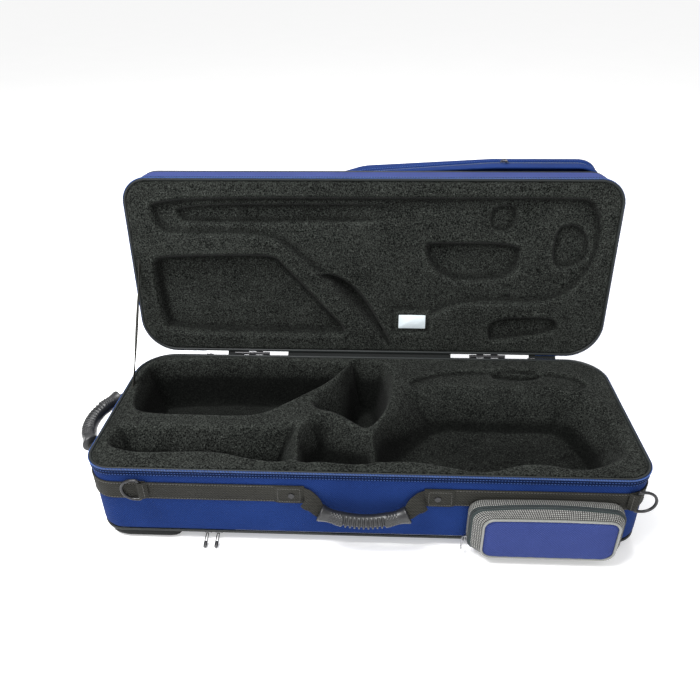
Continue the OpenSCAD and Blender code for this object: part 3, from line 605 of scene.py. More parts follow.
LID_ACCESSORY = lid_yw([(-382, 183), (-352, 188), (-289, 190), (-190, 192), (-160, 187), (-146, 170), (-124, 146),
                        (-95, 113), (-64, 78), (-40, 50), (-46, 36), (-80, 34), (-368, 34), (-380, 68), (-384, 138)])
LID_CHANNEL = lid_yw([(-374, 290), (-100, 292), (120, 292), (340, 294), (368, 288), (386, 260), (392, 210),
                      (384, 172), (364, 138), (338, 112), (292, 100), (220, 102), (150, 98), (92, 62), (52, 30),
                      (30, 36), (12, 58), (-24, 92), (-60, 128), (-94, 156), (-122, 180), (-150, 206), (-184, 220),
                      (-230, 222), (-300, 222), (-350, 222), (-364, 232), (-374, 256)])
LID_BAR = lid_yw([(-338, 276), (-100, 277), (60, 278), (52, 244), (-100, 242), (-180, 241), (-312, 240), (-328, 246)])
LID_CRESCENT = lid_yw([(-96, 154), (-66, 160), (-34, 144), (-4, 114), (22, 70), (46, 14), (28, 22), (6, 50),
                       (-30, 86), (-66, 124)])
LID_SMALL_D = lid_yw([(203, 276), (247, 278), (248, 238), (232, 228), (212, 229), (200, 240)])
LID_BIG_D = lid_yw([(90, 210), (120, 212), (258, 212), (264, 182), (250, 148), (214, 136), (136, 138), (104, 164)])
LID_ROUND_D = lid_yw([(312, 236), (334, 246), (358, 240), (378, 208), (372, 178), (346, 164), (312, 166)])
LID_SLOT = lid_yw([(211, 76), (318, 80), (336, 70), (342, 46), (228, 26), (212, 32)])


LABEL_X, LABEL_Y = ((shut_box("lining_label")[0] + shut_box("lining_label")[1])/2)[:2]
LABEL_DEPTH = shut_box("lining_label")[0][2] + 1.1 - (LID_RIM_Z + 1)


def lid_depth(x, y):
    """How deep the lid lining is pressed, above its rim."""
    accessory = 22*fall(depth_inside(LID_ACCESSORY, x, y), 4, 4, 7)
    w = HINGE.y/MM - y
    edge = depth_inside(LID_CHANNEL, x, y)
    fade = ease((w - 20)/70 + ease((40 - x)/40))
    channel = 14*fall(edge, 3 + 20*(1 - fade), 3, 6)*(0.4 + 0.6*fade)
    inner = 9*fall(depth_inside(LID_BAR, x, y), 2, 3, 4)*ease((70 - x)/120)
    crescent = 34*fall(depth_inside(LID_CRESCENT, x, y), 8, 5, 9)
    details = 8*fall(depth_inside(LID_SMALL_D, x, y), 2, 3, 4) + 9*fall(depth_inside(LID_ROUND_D, x, y), 2, 3, 4)
    details = details + 13*fall(depth_inside(LID_BIG_D, x, y), 3, 4, 6)
    slot = 13*fall(depth_inside(LID_SLOT, x, y), 2, 3, 5)
    depth = deeper(deeper(accessory, channel + inner + details, 1.5), deeper(crescent, slot, 1.5), 1.5)
    beside = np.maximum(np.abs(x - LABEL_X) - 27, np.abs(y - LABEL_Y) - 16)
    return depth*ease(beside/9) + LABEL_DEPTH*(1 - ease(beside/9))


def plan_grid(grow, step):
    """A grid of rows across the case that ends exactly on its outline: arrays of x and y."""
    half_l, half_w = CASE_L/2 + grow, CASE_W/2 + grow
    front, back = FRONT_R + grow, BACK_R + grow
    straight = half_l - back
    turns = np.sin(np.radians(np.linspace(0, 90, round(back*1.45/step))))[1:]
    end = straight + back*turns
    rows = np.r_[-end[::-1], np.linspace(-straight, straight, round(2*straight/step)), end]

    def reach(radius):
        into = np.clip(np.abs(rows) - (half_l - radius), 0, radius)
        return half_w - radius + np.sqrt(radius**2 - into**2)

    share = np.linspace(0, 1, round(2*half_w/step))[None, :]
    low, high = -reach(front)[:, None], reach(back)[:, None]
    return np.broadcast_to(rows[:, None], (len(rows), share.shape[1])), low + share*(high - low)


LINING_GROW = -3.0
GRID_STEP = 1.8
BLOCK_IN, BLOCK_LOW_IN = 5.2, 12


def lining(name, depth_of, rim_z, way, binding, floor, body, lid):
    """A foam lining: its pressed face, the turned edge on the rim and the block below; way is -1 in the base.

    Its per-point attribute holds painted shade: deep floors, steep walls and creases are darkened and raised edges
    get a painted highlight; the base's lining is shaded more than the lid's.
    """
    x, y = plan_grid(LINING_GROW, GRID_STEP)
    flat_x, flat_y = x.ravel(), y.ravel()
    edge = depth_inside(plan_loop(LINING_GROW)[0][:-1], flat_x, flat_y, 0)
    depth = depth_of(flat_x, flat_y)
    depth = depth + 2.4*np.clip(1 - edge/5, 0, 1)**2
    depth = depth + 0.45*(np.sin(flat_x/31) + np.sin(flat_y/23 + 1) + np.sin((flat_x + flat_y)/17))/3
    depth = depth + 0.35*(np.sin(flat_x/11 + np.sin(flat_y/13)*2)*np.sin(flat_y/9 + 2))*ease(depth/30)
    z = rim_z + way*depth
    m, n = x.shape
    index = np.arange(m*n).reshape(m, n)
    faces = np.stack([index[:-1, :-1], index[1:, :-1], index[1:, 1:], index[:-1, 1:]], -1).reshape(-1, 4)
    border = np.r_[index[:, 0], index[-1, 1:], index[-2::-1, -1], index[0, -2:0:-1]]
    points = [np.stack([flat_x, flat_y, z], 1)]
    ring = points[0][border]
    centre_pull, low_pull = (1 - np.array([2*into/CASE_L, 2*into/CASE_W]) for into in (BLOCK_IN, BLOCK_LOW_IN))
    rings = [np.c_[ring[:, :2], np.full(len(ring), binding)],
             np.c_[ring[:, :2]*centre_pull, np.full(len(ring), binding)],
             np.c_[ring[:, :2]*centre_pull, np.full(len(ring), floor - 7*way)],
             np.c_[ring[:, :2]*low_pull, np.full(len(ring), float(floor))]]
    all_faces = faces.tolist()
    last = border
    start = m*n
    for extra in rings:
        fresh = start + np.arange(len(border))
        all_faces += np.stack([last, np.roll(last, -1), np.roll(fresh, -1), fresh], -1).tolist()
        points.append(extra)
        last = fresh
        start += len(border)
    all_faces.append(last.tolist())
    made = piece(name, np.vstack(points), all_faces, PLUSH, body, "black_plush", lid=lid, smooth=180)
    # painted shade: darker with depth, on steep walls and in creases, with a painted highlight on raised edges
    pressed = np.zeros(start)
    heights = depth.reshape(m, n)
    across, along = np.gradient(heights)
    steepness = np.clip(np.hypot(across, along).ravel()/GRID_STEP, 0, 1)
    around = sum(np.roll(heights, (i, j), (0, 1)) for i in (-3, 0, 3) for j in (-3, 0, 3)).ravel()/9
    raised = np.clip((around - depth)/0.8, -1, 1)*ease(edge/12)
    # painted shade by depth: strong in the base, faint in the lid
    deep = 0.66*ease(depth/115) if way < 0 else 0.04*ease(depth/34)
    ground = 0.2 if way < 0 else 0.12
    pressed[:m*n] = np.clip(ground + deep + 0.25*steepness - np.where(raised > 0, 0.22, 0.34)*raised, 0, 1)
    made.data.attributes.new("pressed", "FLOAT", "POINT").data.foreach_set("value", pressed)
    return made


base_plush = lining("base_plush", base_depth, LINING_TOP, -1, BINDING_Z + 0.2, BASE_Z + WALL + 0.2, "base", False)
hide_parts("base_lining", "base_rim_binding")

lid_plush = lining("lid_plush", lid_depth, LID_RIM_Z + 1, 1, LID_RIM_Z + RIM_Z - BINDING_Z - 0.2,
                   LID_TOP_Z - WALL - 0.2, "lid", True)
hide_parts("lid_lining", "lid_rim_binding")


# ---- fabric shells ----

def shell(name, rim, closed_z, way, finish, body, lid, node):
    """The woven cover of the base or the lid, a little slack on its foam; way is -1 where it closes below."""
    turn_z = closed_z - way*EDGE_R
    rings = []
    for z in np.linspace(rim, turn_z, 12):
        share = abs(z - rim)/abs(turn_z - rim)
        ring = plan_ring(-0.2, z, 6)
        slack = 0.9*math.sin(math.pi*share)
        s = np.arange(len(ring))
        wave = 0.5 + 0.25*np.sin(s/7.3 + 2*share) + 0.25*np.sin(s/3.1 - 3*share)
        inward = plan_ring(-0.2 - 1.0, z, 6) - ring
        rings.append(ring + inward*(slack*wave)[:, None])
    for a in np.radians(np.linspace(10, 90, 8)):
        rings.append(plan_ring(-0.2 - EDGE_R*(1 - math.cos(a)), turn_z + way*EDGE_R*math.sin(a), 6))
    for inset in (22, 34, 39):
        rings.append(plan_ring(-inset, closed_z, 6))
    points, faces, uv = loft(rings, caps=False)
    faces.append(list(range(len(points) - len(rings[0]), len(points))))
    cover = piece(name, points, faces, finish, None, "blue_weave", lid=lid, uv=uv, smooth=50)
    work = bmesh.new()
    work.from_mesh(cover.data)
    outside = max(work.faces, key=lambda f: f.calc_area())
    wanted = Vector((0, 0, way))
    if lid:
        wanted = LID.to_3x3() @ wanted
    if outside.normal.dot(wanted) < 0:
        bmesh.ops.reverse_faces(work, faces=work.faces)
    work.to_mesh(cover.data)
    work.free()
    bpy.context.view_layer.objects.active = cover
    thick = cover.modifiers.new("cloth", "SOLIDIFY")
    thick.thickness = 1.4*MM
    thick.offset = -1
    bpy.ops.object.modifier_apply(modifier=thick.name)
    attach(cover, body)
    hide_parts(node)


shell("base_shell", BINDING_Z + 1, BASE_Z, -1, NAVY, "base", False, "base_cover")
shell("lid_shell", LID_RIM_Z + RIM_Z - BINDING_Z - 1, LID_TOP_Z, 1, NAVY_LIT, "lid", True, "lid_cover")


# ---- rim piping, main zip ----

RIM_PIPING_R = 2.6
for side in ("base", "lid"):
    level = RIM_Z - 3.2 if side == "base" else LID_RIM_Z + 3.2
    tube(f"{side}_rim_piping", plan_ring(-1.0, level, 4), RIM_PIPING_R, PIPING, side, "black_piping",
         closed=True, lid=side == "lid")

TAPE_H = 13
TOOTH_PITCH = 2.2
STITCH_PITCH = 4.4
ZIP_MOUTH = (box_mm("right_main_slider")[1][0])*2
half_round = plan_length()/2
zip_from = half_round + ZIP_MOUTH/2
zip_to = 3*half_round - ZIP_MOUTH/2

for side in ("base", "lid"):
    way = -1 if side == "base" else 1
    edge = RIM_Z - 1 if side == "base" else LID_RIM_Z + 1
    lid = side == "lid"
    path, out, ahead = plan_along(0.6, zip_from, zip_to, 5, edge + way*TAPE_H/2)
    tape = skin(f"{side}_zip_tape", sweep(path, out, UP, strip(1.0, TAPE_H, 0.3)),
                SHADED_BLUE_TAPE, side, "blue_zip", lid)
    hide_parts(f"{side}_zip")
    path, out, ahead = plan_along(1.5, zip_from, zip_to, TOOTH_PITCH, edge + way*1.7)
    lean = unit(ahead*0.35 + UP)
    scatter(f"{side}_zip_teeth", (1.3, 1.3, 3.0), path, np.cross(out, lean), out, lean, BLUE_THREAD, side,
            "blue_zip", lid=lid)
    for row, height in enumerate((TAPE_H - 1.6, TAPE_H - 6.2)):
        path, out, ahead = plan_along(1.15, zip_from, zip_to, STITCH_PITCH, edge + way*height)
        scatter(f"{side}_zip_stitches_{row}", (2.8, 0.5, 0.7), path, ahead, out,
                UP, BLUE_THREAD, side, "blue_zip", lid=lid)


# ---- webbing band, anchors, ring loops ----

BAND_T = 1.5
ANCHOR_T = 2.4
HANDLE_SPAN = box_mm("front_handle_straps")[1][0]*2
band_from = HANDLE_SPAN/2 + 2
band_to = 2*half_round - band_from
path, out, ahead = plan_along(BAND_T/2 + 0.05, band_from, band_to, 5, BAND_Z)
wave = 1 + 0.12*np.sin(np.arange(len(path))/3.0)
section = strip(BAND_T, BAND_W, 0.5)[None]*np.stack([wave, np.ones_like(wave)], 1)[:, None]
band = skin("webbing_band", sweep(path, out, UP, section), WEBBING, "base", "webbing")
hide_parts("side_band")
for row, height in enumerate((-BAND_W/2 + 2.6, BAND_W/2 - 2.6)):
    path, out, ahead = plan_along(BAND_T + 0.25, band_from + 2, band_to - 2, STITCH_PITCH, BAND_Z + height)
    scatter(f"band_stitches_{row}", (2.9, 0.5, 0.8), path, ahead, out, UP,
            DARK_THREAD, "base", "webbing")


SIDE_SHIFT = JOINTS["side_handle_swing"]["pos_m"][1]/MM


def wall_frame(k):
    """Origin and axes (along, out, up) of the front wall (0) or the left wall (1) at the height of the band."""
    if k == 0:
        return np.array([0, FRONT_Y, BAND_Z]), np.array([1.0, 0, 0]), np.array([0, -1.0, 0])
    return np.array([cover_low[0], SIDE_SHIFT, BAND_Z]), np.array([0, -1.0, 0]), np.array([-1.0, 0, 0])


ANCHOR_L = (box_mm("front_handle_anchors")[1][0] - HANDLE_SPAN/2 - 3)
for k, side in ((0, "front"), (1, "side")):
    origin, along, out = wall_frame(k)
    folds, seams = [], []
    for s in (-1, 1):
        reach = np.linspace(HANDLE_SPAN/2 + 1.5, HANDLE_SPAN/2 + ANCHOR_L + 3, 24)
        path = []
        for i, x in enumerate(reach):
            edge = min(i, 5)/5
            tail = min(len(reach) - 1 - i, 3)/3
            path.append(origin + along*s*x + out*(BAND_T + 0.25 + 1.25*math.sin(edge*math.pi/2)*(0.55 + 0.45*tail)))
        thick = np.array([ANCHOR_T*(0.35 + 0.65*min(len(reach) - 1 - i, 3)/3) for i in range(len(reach))])
        section = np.stack([strip(t, BAND_W - 0.6, 0.6) for t in thick])
        folds.append(loft(sweep(path, out, UP, section)))
        x0, x1, h = HANDLE_SPAN/2 + 8, HANDLE_SPAN/2 + ANCHOR_L - 1, BAND_W/2 - 4
        corners = [(x0, -h), (x1, -h), (x1, h), (x0, h), (x0, -h)]
        for (ax, az), (bx, bz) in zip(corners, corners[1:]):
            length = math.hypot(bx - ax, bz - az)
            for share in np.arange(1.6, length - 1, 3.6)/length:
                seams.append((s*(ax + (bx - ax)*share), az + (bz - az)*share, s*(bx - ax), bz - az))
    anchor = piece(f"{side}_anchor_folds", *join(folds), WEBBING, "base", "webbing")
    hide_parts(f"{side}_handle_anchors")
    seams = np.array(seams)
    heading = unit(along*seams[:, 2:3] + UP*seams[:, 3:])
    places = origin + along*seams[:, :1] + UP*seams[:, 1:2] + out*(BAND_T + 2.95)
    scatter(f"{side}_anchor_stitches", (2.5, 0.5, 0.8), places, heading, out, np.cross(heading, out),
            DARK_THREAD, "base", "webbing")

RING_Y = JOINTS["left_ring_swing"]["pos_m"][1]/MM
TAB_H = 30
RING_Z = JOINTS["left_ring_swing"]["pos_m"][2]/MM
loops, stitches = [], []
for joint, way in (("left_ring_swing", 1), ("right_ring_swing", -1)):
    ring_x = JOINTS[joint]["pos_m"][0]/MM
    bend = [(ring_x - way*2.85*math.cos(a), RING_Y + 2.85*math.sin(a)) for a in np.linspace(
        math.pi/2, -math.pi/2, 9)]
    flat = [(ring_x + way*9, RING_Y + 2.6), (ring_x + way*6, RING_Y + 2.7), (ring_x + way*3, RING_Y + 2.85)]
    top = [(ring_x + way*3, RING_Y - 2.85), (ring_x + way*6, RING_Y - 2.3), (ring_x + way*9, RING_Y - 1.0),
           (ring_x + way*12, RING_Y + 0.9)]
    route = curve(flat + bend[1:-1] + top, 40)
    ahead = headings(route)
    across = np.c_[ahead[:, 1], -ahead[:, 0], np.zeros(len(ahead))]
    path = np.c_[route, np.full(len(route), RING_Z)]
    loops.append(loft(sweep(path, across, UP, strip(1.0, TAB_H, 0.35))))
    stitches += [(ring_x + way*7, RING_Y - 2.75, RING_Z + z) for z in np.arange(-12.5, 13, 3.4)]
loops = piece("ring_loops", *join(loops), WEBBING, "base", "webbing")
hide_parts("ring_tabs")
scatter("ring_loop_stitches", (2.4, 0.6, 0.9), np.array(stitches), UP, (0, -1.0, 0), (1.0, 0, 0), DARK_THREAD,
        "base", "webbing")


# ---- handles ----

GRIP_L = 124
GRIP_R = 11
RIB_PITCH, RIB_H, RIBS_END = 6.2, 3.4, 28
DOT_PITCH, DOT_H, DOTS_START, DOTS_END = 4.6, 1.2, 30, 51


def handle(side, k, lean, drop, bow):
    """A moulded grip on two webbing straps, hung from the folds and leaning out from the wall."""
    origin, along, out = wall_frame(k)
    axis_out = 4.5 + BAND_T
    lean = math.radians(lean)
    down = -UP*math.cos(lean) + out*math.sin(lean)
    face = out*math.cos(lean) + UP*math.sin(lean)
    origin = origin + out*axis_out
    arc_r = ((GRIP_L/2)**2 + bow**2)/(2*bow)
    half = math.asin(GRIP_L/2/arc_r)
    rings, n = [], 56
    turn = np.arange(n)*2*math.pi/n
    for share in np.linspace(-1, 1, 240):
        a = share*half
        s = abs(share)*GRIP_L/2
        end = GRIP_L/2 - s
        centre = origin + along*arc_r*math.sin(a) + down*(drop - arc_r*(1 - math.cos(a)))
        radial = along*math.sin(a) + down*math.cos(a)
        centre = centre + along*math.copysign(3.0*math.exp(-(end/9)**2), share)
        flare = 2.4*math.exp(-(end/6.0)**2)
        waist = -1.0*math.exp(-((end - 16)/8)**2)
        under = np.clip(np.cos(turn - 0.75), 0, 1)**0.5
        rib = RIB_H*max(0.0, math.cos(2*math.pi*s/RIB_PITCH))**0.4 if s < RIBS_END else 0
        keel = -RIB_H*float(ease(np.array((RIBS_END + 3 - s)/3)))
        radius = GRIP_R*(1.12 if side == "side" else 1) + 0.2 + flare + waist + (rib + keel)*under
        if end < 1.6:
            radius = radius - 1.6*(1 - end/1.6)
        if DOTS_START < s < DOTS_END:
            dots = np.clip(np.cos(2*math.pi*s/DOT_PITCH)*np.cos(turn*12), 0, 1)
            fade = float(ease(np.array(min(s - DOTS_START, DOTS_END - s)/3)))
            radius = radius + DOT_H*dots*(np.abs(np.cos(turn)) < 0.8)*fade
        seam = 0.9*np.exp(-((np.abs(np.mod(turn + math.pi, 2*math.pi) - math.pi) - math.pi*0.33)/0.09)**2)
        radius = radius + seam*(1 if end > 3 else 0)
        rings.append(centre + np.outer(np.cos(turn)*radius, radial) + np.outer(np.sin(turn)*radius*0.92, face))
    grip = skin(f"{side}_grip", rings, RUBBER, f"{side}_handle", "grip_rubber", smooth=70)
    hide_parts(f"{side}_handle_grip")
    straps = []
    for s in (-1, 1):
        end_a = half*0.93
        end_in = [arc_r*math.sin(end_a), drop - arc_r*(1 - math.cos(end_a))]
        leave = np.array([math.cos(half), -math.sin(half)])
        route = curve([end_in, np.array(end_in) + leave*8, (HANDLE_SPAN/2 - 12, 11.5), (HANDLE_SPAN/2 - 3.5, 5.5),
                       (HANDLE_SPAN/2 + 1.5, 0.5)], 26)
        ahead = headings(route)
        share = np.linspace(0, 1, len(route))
        width = 17 + 12*ease((share - 0.1)/0.6)
        path = origin + along*(s*route[:, :1]) + down*route[:, 1:] - out*(3.6*ease((share - 0.72)/0.28))[:, None]
        side_way = along*(-s*ahead[:, 1:]) + down*ahead[:, :1]
        tilt = ease((share - 0.75)/0.25)[:, None]
        side_way = unit(side_way*(1 - tilt) - UP*tilt*np.sign(np.dot(down, -UP) + 0.01))
        thick_way = unit(np.cross(headings(path), side_way))
        section = np.stack([strip(w, 2.6 - 0.8*share[i], 0.6) for i, w in enumerate(width)])
        straps.append(loft(sweep(path, side_way, thick_way, section)))
    straps = piece(f"{side}_handle_webbing", *join(straps), WEBBING, f"{side}_handle", "webbing")
    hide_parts(f"{side}_handle_straps")


handle("front", 0, 24, 36, 13)
handle("side", 1, 86, 50, 24)


# ---- front pocket ----

back_low, back_high = box_mm("pocket_back")
face_low, face_high = box_mm("pocket_face")
POCKET_WALL_Y = back_high[1]
POCKET_DEPTH = POCKET_WALL_Y - face_low[1]


def round_rect(x0, x1, z0, z1, r, crown=0.0):
    """A rectangle with round corners, its top edge raised by crown in the middle; from the bottom middle round."""
    points = [((x0 + x1)/2, z0)]
    for cx, cz, start in ((x1 - r, z0 + r, -90), (x1 - r, z1 - r, 0), (x0 + r, z1 - r, 90), (x0 + r, z0 + r, 180)):
        points += [(cx + r*math.cos(a), cz + r*math.sin(a)) for a in np.radians(np.linspace(start, start + 90, 9))]
    out = even_ring(np.array(points), 140)
    arch = crown*np.sin(math.pi*np.clip((out[:, 0] - x0)/(x1 - x0), 0, 1))
    out[:, 1] += arch*ease((out[:, 1] - z0)/(z1 - z0))
    return out


def pocket_ring(depth, grow=0.0):
    """The pocket's outline at a depth from the wall: it draws in towards the face and arches at the zip."""
    share = min(max(depth/POCKET_DEPTH, 0), 1)
    lean = float(ease(np.array((share - 0.42)/0.58)))
    arch = 3 + 7*math.exp(-((share - 0.5)/0.24)**2) - 1.6*share
    x0 = back_low[0] + 18*lean - grow
    x1 = back_high[0] - 10*lean + grow
    z1 = back_high[2] - 8*lean + grow - 0.45*arch
    ring = round_rect(x0, x1, back_low[2], z1, 18 - 3*share, arch)
    return np.c_[ring[:, 0], np.full(len(ring), POCKET_WALL_Y - depth), ring[:, 1]]


GUSSET_T = 1.6


def pocket_skin(name, depths, grows, finish, body, slot, node=None):
    """A gusset or tape of the pocket over a range of depths."""
    outer = [pocket_ring(d, g) for d, g in zip(depths, grows)]
    inner = [pocket_ring(d, g - GUSSET_T) for d, g in zip(depths[::-1], grows[::-1])]
    made = skin(name, outer + inner, finish, body, slot, closed=True)
    if node:
        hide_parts(node)


pocket_skin("pocket_back_gusset", [0.2, 3, 7, 11, 14.2], [-0.8, 0.4, 1.0, 0.8, -0.2], SPACER, "base",
            "spacer_mesh", "pocket_back")
pocket_skin("pocket_back_tape", [13.6, 15, 16.9], [0.0, 0.3, 0.2], BLACK_TAPE, "base", "black_zip")
pocket_skin("pocket_front_tape", [17.7, 19, 20.8], [0.2, 0.3, 0.0], BLACK_TAPE, "pocket_front", "black_zip")
pocket_skin("pocket_front_gusset", [20.2, 23, 26, 29, 31.4], [-0.2, 0.9, 1.0, 0.4, -0.6], SPACER,
            "pocket_front", "spacer_mesh", "pocket_flap")

for half, (depth, body) in (("back", (16.4, "base")), ("front", (18.2, "pocket_front"))):
    place, ahead = ring_row(pocket_ring(depth, 0.7), 2.0, 0.5 if half == "back" else 0.0)
    into = np.array([0, -1.0, 0])
    keep = place[:, 2] > back_low[2] + 4
    scatter(f"pocket_{half}_teeth", (1.0, 1.0, 1.9), place[keep], ahead[keep], np.cross(into, ahead)[keep]*-1,
            into, COIL, body, "black_zip")

FACE_IN = 1.5
piping_path = pocket_ring(POCKET_DEPTH - 1.9, -FACE_IN)
pocket_piping = tube("pocket_piping_cord", piping_path, 1.9, GREY_PIPING, "pocket_front", "grey_piping", closed=True)
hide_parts("pocket_piping")

face_rings = []
middle = np.array([(face_low[0] + face_high[0])/2, 0, (face_low[2] + face_high[2])/2])
for share, swell in ((1.0, -3.2), (1.0, -1.2), (0.975, 0.2), (0.93, 1.3), (0.85, 2.1), (0.7, 2.9), (0.5, 3.4),
                     (0.3, 3.7), (0.1, 3.8)):
    ring = pocket_ring(POCKET_DEPTH - 1.8, -FACE_IN - 1.0)
    ring[:, 0] = middle[0] + (ring[:, 0] - middle[0])*share
    ring[:, 2] = middle[2] + (ring[:, 2] - middle[2])*share
    pucker = 0.25*np.sin(np.arange(len(ring))*2*math.pi*26/len(ring))*(1 if 0.8 < share < 0.99 else 0)
    ring[:, 1] -= swell + pucker
    face_rings.append(ring)
face = skin("pocket_face_pad", face_rings, NAVY_LIT, "pocket_front", "blue_weave")
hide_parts("pocket_face")


# ---- lid pocket ----

pocket_low, pocket_high = shut_box("lid_pocket_back")
LID_SPLIT = shut_box("lid_pocket_flap")[0][2]
LID_POCKET_TOP = shut_box("lid_pocket_piping")[1][2]
SLANT = 20


def rounded(points, radii, count):
    """A closed outline with an arc at each corner, as so many points in even steps."""
    points = np.asarray(points, float)
    out = []
    for i, r in enumerate(radii):
        a, b, c = points[i - 1], points[i], points[(i + 1) % len(points)]
        u, v = unit(a - b), unit(c - b)
        angle = math.acos(np.clip(np.dot(u, v), -1, 1))
        cut = r/math.tan(angle/2)
        start, end = b + u*cut, b + v*cut
        for t in np.linspace(0, 1, 12):
            out.append((1 - t)**2*start + 2*t*(1 - t)*(b + (u + v)*cut*0.06) + t*t*end)
    return even_ring(np.array(out), count)


ZIP_LOW_X, ZIP_HIGH_X = 0, pocket_high[0] - 182


def zip_level(x):
    """Height of the lid pocket's zip: low at the slanting end, half way up from the slider on."""
    share = np.clip((x - ZIP_LOW_X)/(ZIP_HIGH_X - ZIP_LOW_X), 0, 1)
    return LID_TOP_Z + 6 + (LID_SPLIT - 0.2 - LID_TOP_Z - 6)*share


def lid_pocket_ring(share, inset=0.0, rise=0.0):
    """The lid pocket's outline: share runs from -1 at the lid through 0 at the zip to 1 at the outer panel."""
    x0, x1, y0, y1 = pocket_low[0], pocket_high[0], pocket_low[1], pocket_high[1]
    corners = [(x0 + inset, y1 - inset), (x0 + inset, y0 + SLANT + 8 + inset), (x0 + 60, y0 + SLANT*0.5 + inset),
               (x1 - 188, y0 + inset), (x1 - inset, y0 + inset), (x1 - inset, y1 - inset)]
    ring = rounded(corners, (22, 22, 90, 90, 38, 38), 240)
    level = zip_level(ring[:, 0])
    if share < 0:
        height = level + share*(level - LID_TOP_Z - 0.3)
    else:
        height = level + share*(LID_POCKET_TOP - 2.2 - level)
    return np.c_[ring, height + rise]


def lid_pocket_skin(name, shares, insets, finish, slot, body, cap=False, node=None, rises=None):
    """A band of the lid pocket's side, or its side with the outer panel."""
    rises = rises or [0]*len(shares)
    rings = [lid_pocket_ring(s, i, r) for s, i, r in zip(shares, insets, rises)]
    if cap:
        middle = rings[-1].mean(0)
        last = rings[-1]
        for share, swell in ((0.95, 1.6), (0.88, 2.6), (0.75, 3.4), (0.5, 3.8), (0.25, 3.9), (0.05, 3.9)):
            ring = middle + (last - middle)*share
            ring[:, 2] = last[:, 2] + swell
            rings.append(ring)
        inner = [lid_pocket_ring(shares[0], insets[0] + 2, rises[0])]
        points, faces, uv = loft(inner + rings, caps=False)
        faces.append(list(range(len(points) - len(rings[0]), len(points))))
        faces.append(list(range(len(rings[0])))[::-1])
    else:
        inner = [lid_pocket_ring(s, i + 1.8, r) for s, i, r in zip(shares[::-1], insets[::-1], rises[::-1])]
        points, faces, uv = loft(rings + inner, caps=False, closed=True)
    made = piece(name, points, faces, finish, body, slot, lid=True, uv=uv)
    if node:
        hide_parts(node)
    return made


lid_pocket_skin("lid_pocket_gusset", [-1, -0.8, -0.5, -0.2, 0], [0.4, -1.4, -2.2, -1.4, 0.2], NAVY, "blue_weave",
                "lid", node="lid_pocket_back", rises=[0, 0, 0, 0, -4.0])
lid_pocket_skin("lid_pocket_back_tape", [0, 0, 0], [0.3, -0.3, 0.3], BLACK_TAPE, "black_zip", "lid",
                rises=[-5.0, -3.0, -0.9])
lid_pocket_skin("lid_pocket_front_tape", [0, 0, 0], [0.3, -0.3, 0.3], BLACK_TAPE, "black_zip", "lid_pocket_front",
                rises=[0.9, 3.0, 5.0])
lid_pad = lid_pocket_skin("lid_pocket_bag", [0, 0.2, 0.45, 0.7, 0.93, 1], [0.2, -3.4, -5.0, -3.4, 0.6, 5.0], NAVY,
                          "blue_weave", "lid_pocket_front", cap=True, node="lid_pocket_flap",
                          rises=[4.0, 0, 0, 0, 0, 0])
lid_piping = tube("lid_pocket_piping_cord", lid_pocket_ring(0.95, 1.6), 2.2, PIPING, "lid_pocket_front",
                  "black_piping", closed=True, lid=True)
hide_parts("lid_pocket_piping")


def lid_pocket_row(name, size, rise, inset, step, shift, finish, slot, body):
    """A row of teeth or stitches along the lid pocket's zip."""
    place, ahead = ring_row(lid_pocket_ring(0, inset, rise), step, shift)
    side_way = unit(np.cross(ahead, UP))
    scatter(name, size, place, ahead, side_way, np.cross(side_way, ahead)*-1, finish, body, slot, lid=True)


lid_pocket_row("lid_pocket_back_teeth", (1.6, 1.4, 3.4), -1.7, -0.5, 2.4, 0.5, COIL, "black_zip", "lid")
lid_pocket_row("lid_pocket_front_teeth", (1.6, 1.4, 3.4), 1.5, -0.5, 2.4, 0.0, COIL, "black_zip",
               "lid_pocket_front")
lid_pocket_row("lid_pocket_back_stitches", (2.8, 0.6, 0.8), -7.5, -2.4, 4.4, 0.0, BLUE_THREAD, "blue_weave", "lid")
lid_pocket_row("lid_pocket_front_stitches", (2.8, 0.6, 0.8), 7.5, -3.4, 4.4, 0.0, BLUE_THREAD, "blue_weave",
               "lid_pocket_front")


# ---- harness pouch ----

pouch_low, pouch_high = box_mm("harness_pouch")
ZIP_X0 = box_mm("harness_zip")[0][0]
POUCH_FRONT = pouch_low[1]
POUCH_NARROW = FRONT_Y + 33


def pouch_ring(z, inset, swell=0.0):
    """The pouch's outline: a full-width end, which may swell out at the front and the left, and a narrower tail."""
    x0, x1, y1 = pouch_low[0] + inset, pouch_high[0] - inset, pouch_high[1] - inset
    step_x = ZIP_X0 - 2 - inset
    corners = [(x0, y1), (x0, POUCH_FRONT + inset), (step_x, POUCH_FRONT + inset), (step_x, POUCH_NARROW + inset),
               (x1, POUCH_NARROW + inset), (x1, y1)]
    ring = rounded(corners, (40, 40, 9, 9, 40, 40), 400)
    puffed = ease((ZIP_X0 + 30 - ring[:, 0])/50)*swell
    ring[:, 0] -= puffed*np.clip((-300 - ring[:, 0])/60, 0, 1)
    ring[:, 1] -= puffed*np.clip((-ring[:, 1] - 60)/60, 0, 1)
    return np.c_[ring, z + 0.6*puffed*(z > 6)]


POUCH_TOP = pouch_high[2]
profile = [(POUCH_TOP - 0.2, 6, 0), (POUCH_TOP - 0.4, 2, 5), (POUCH_TOP - 2.2, -0.8, 8), (POUCH_TOP - 5, -2.2, 8.5),
           (POUCH_TOP - 8, -2.4, 8), (POUCH_TOP - 11, -0.6, 6), (1.0, 3.0, 4), (0.2, 8.0, 2), (0.0, 14.0, 0)]
pouch = skin("harness_pad", [pouch_ring(*level) for level in profile], BLACK_CLOTH, "base", "black_cloth")
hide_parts("harness_pouch")
tube("harness_piping", pouch_ring(POUCH_TOP - 1.6, -0.8, 7.6), 1.7, GREY_PIPING, "base", "grey_piping", closed=True)


# ---- lid stay, label ----

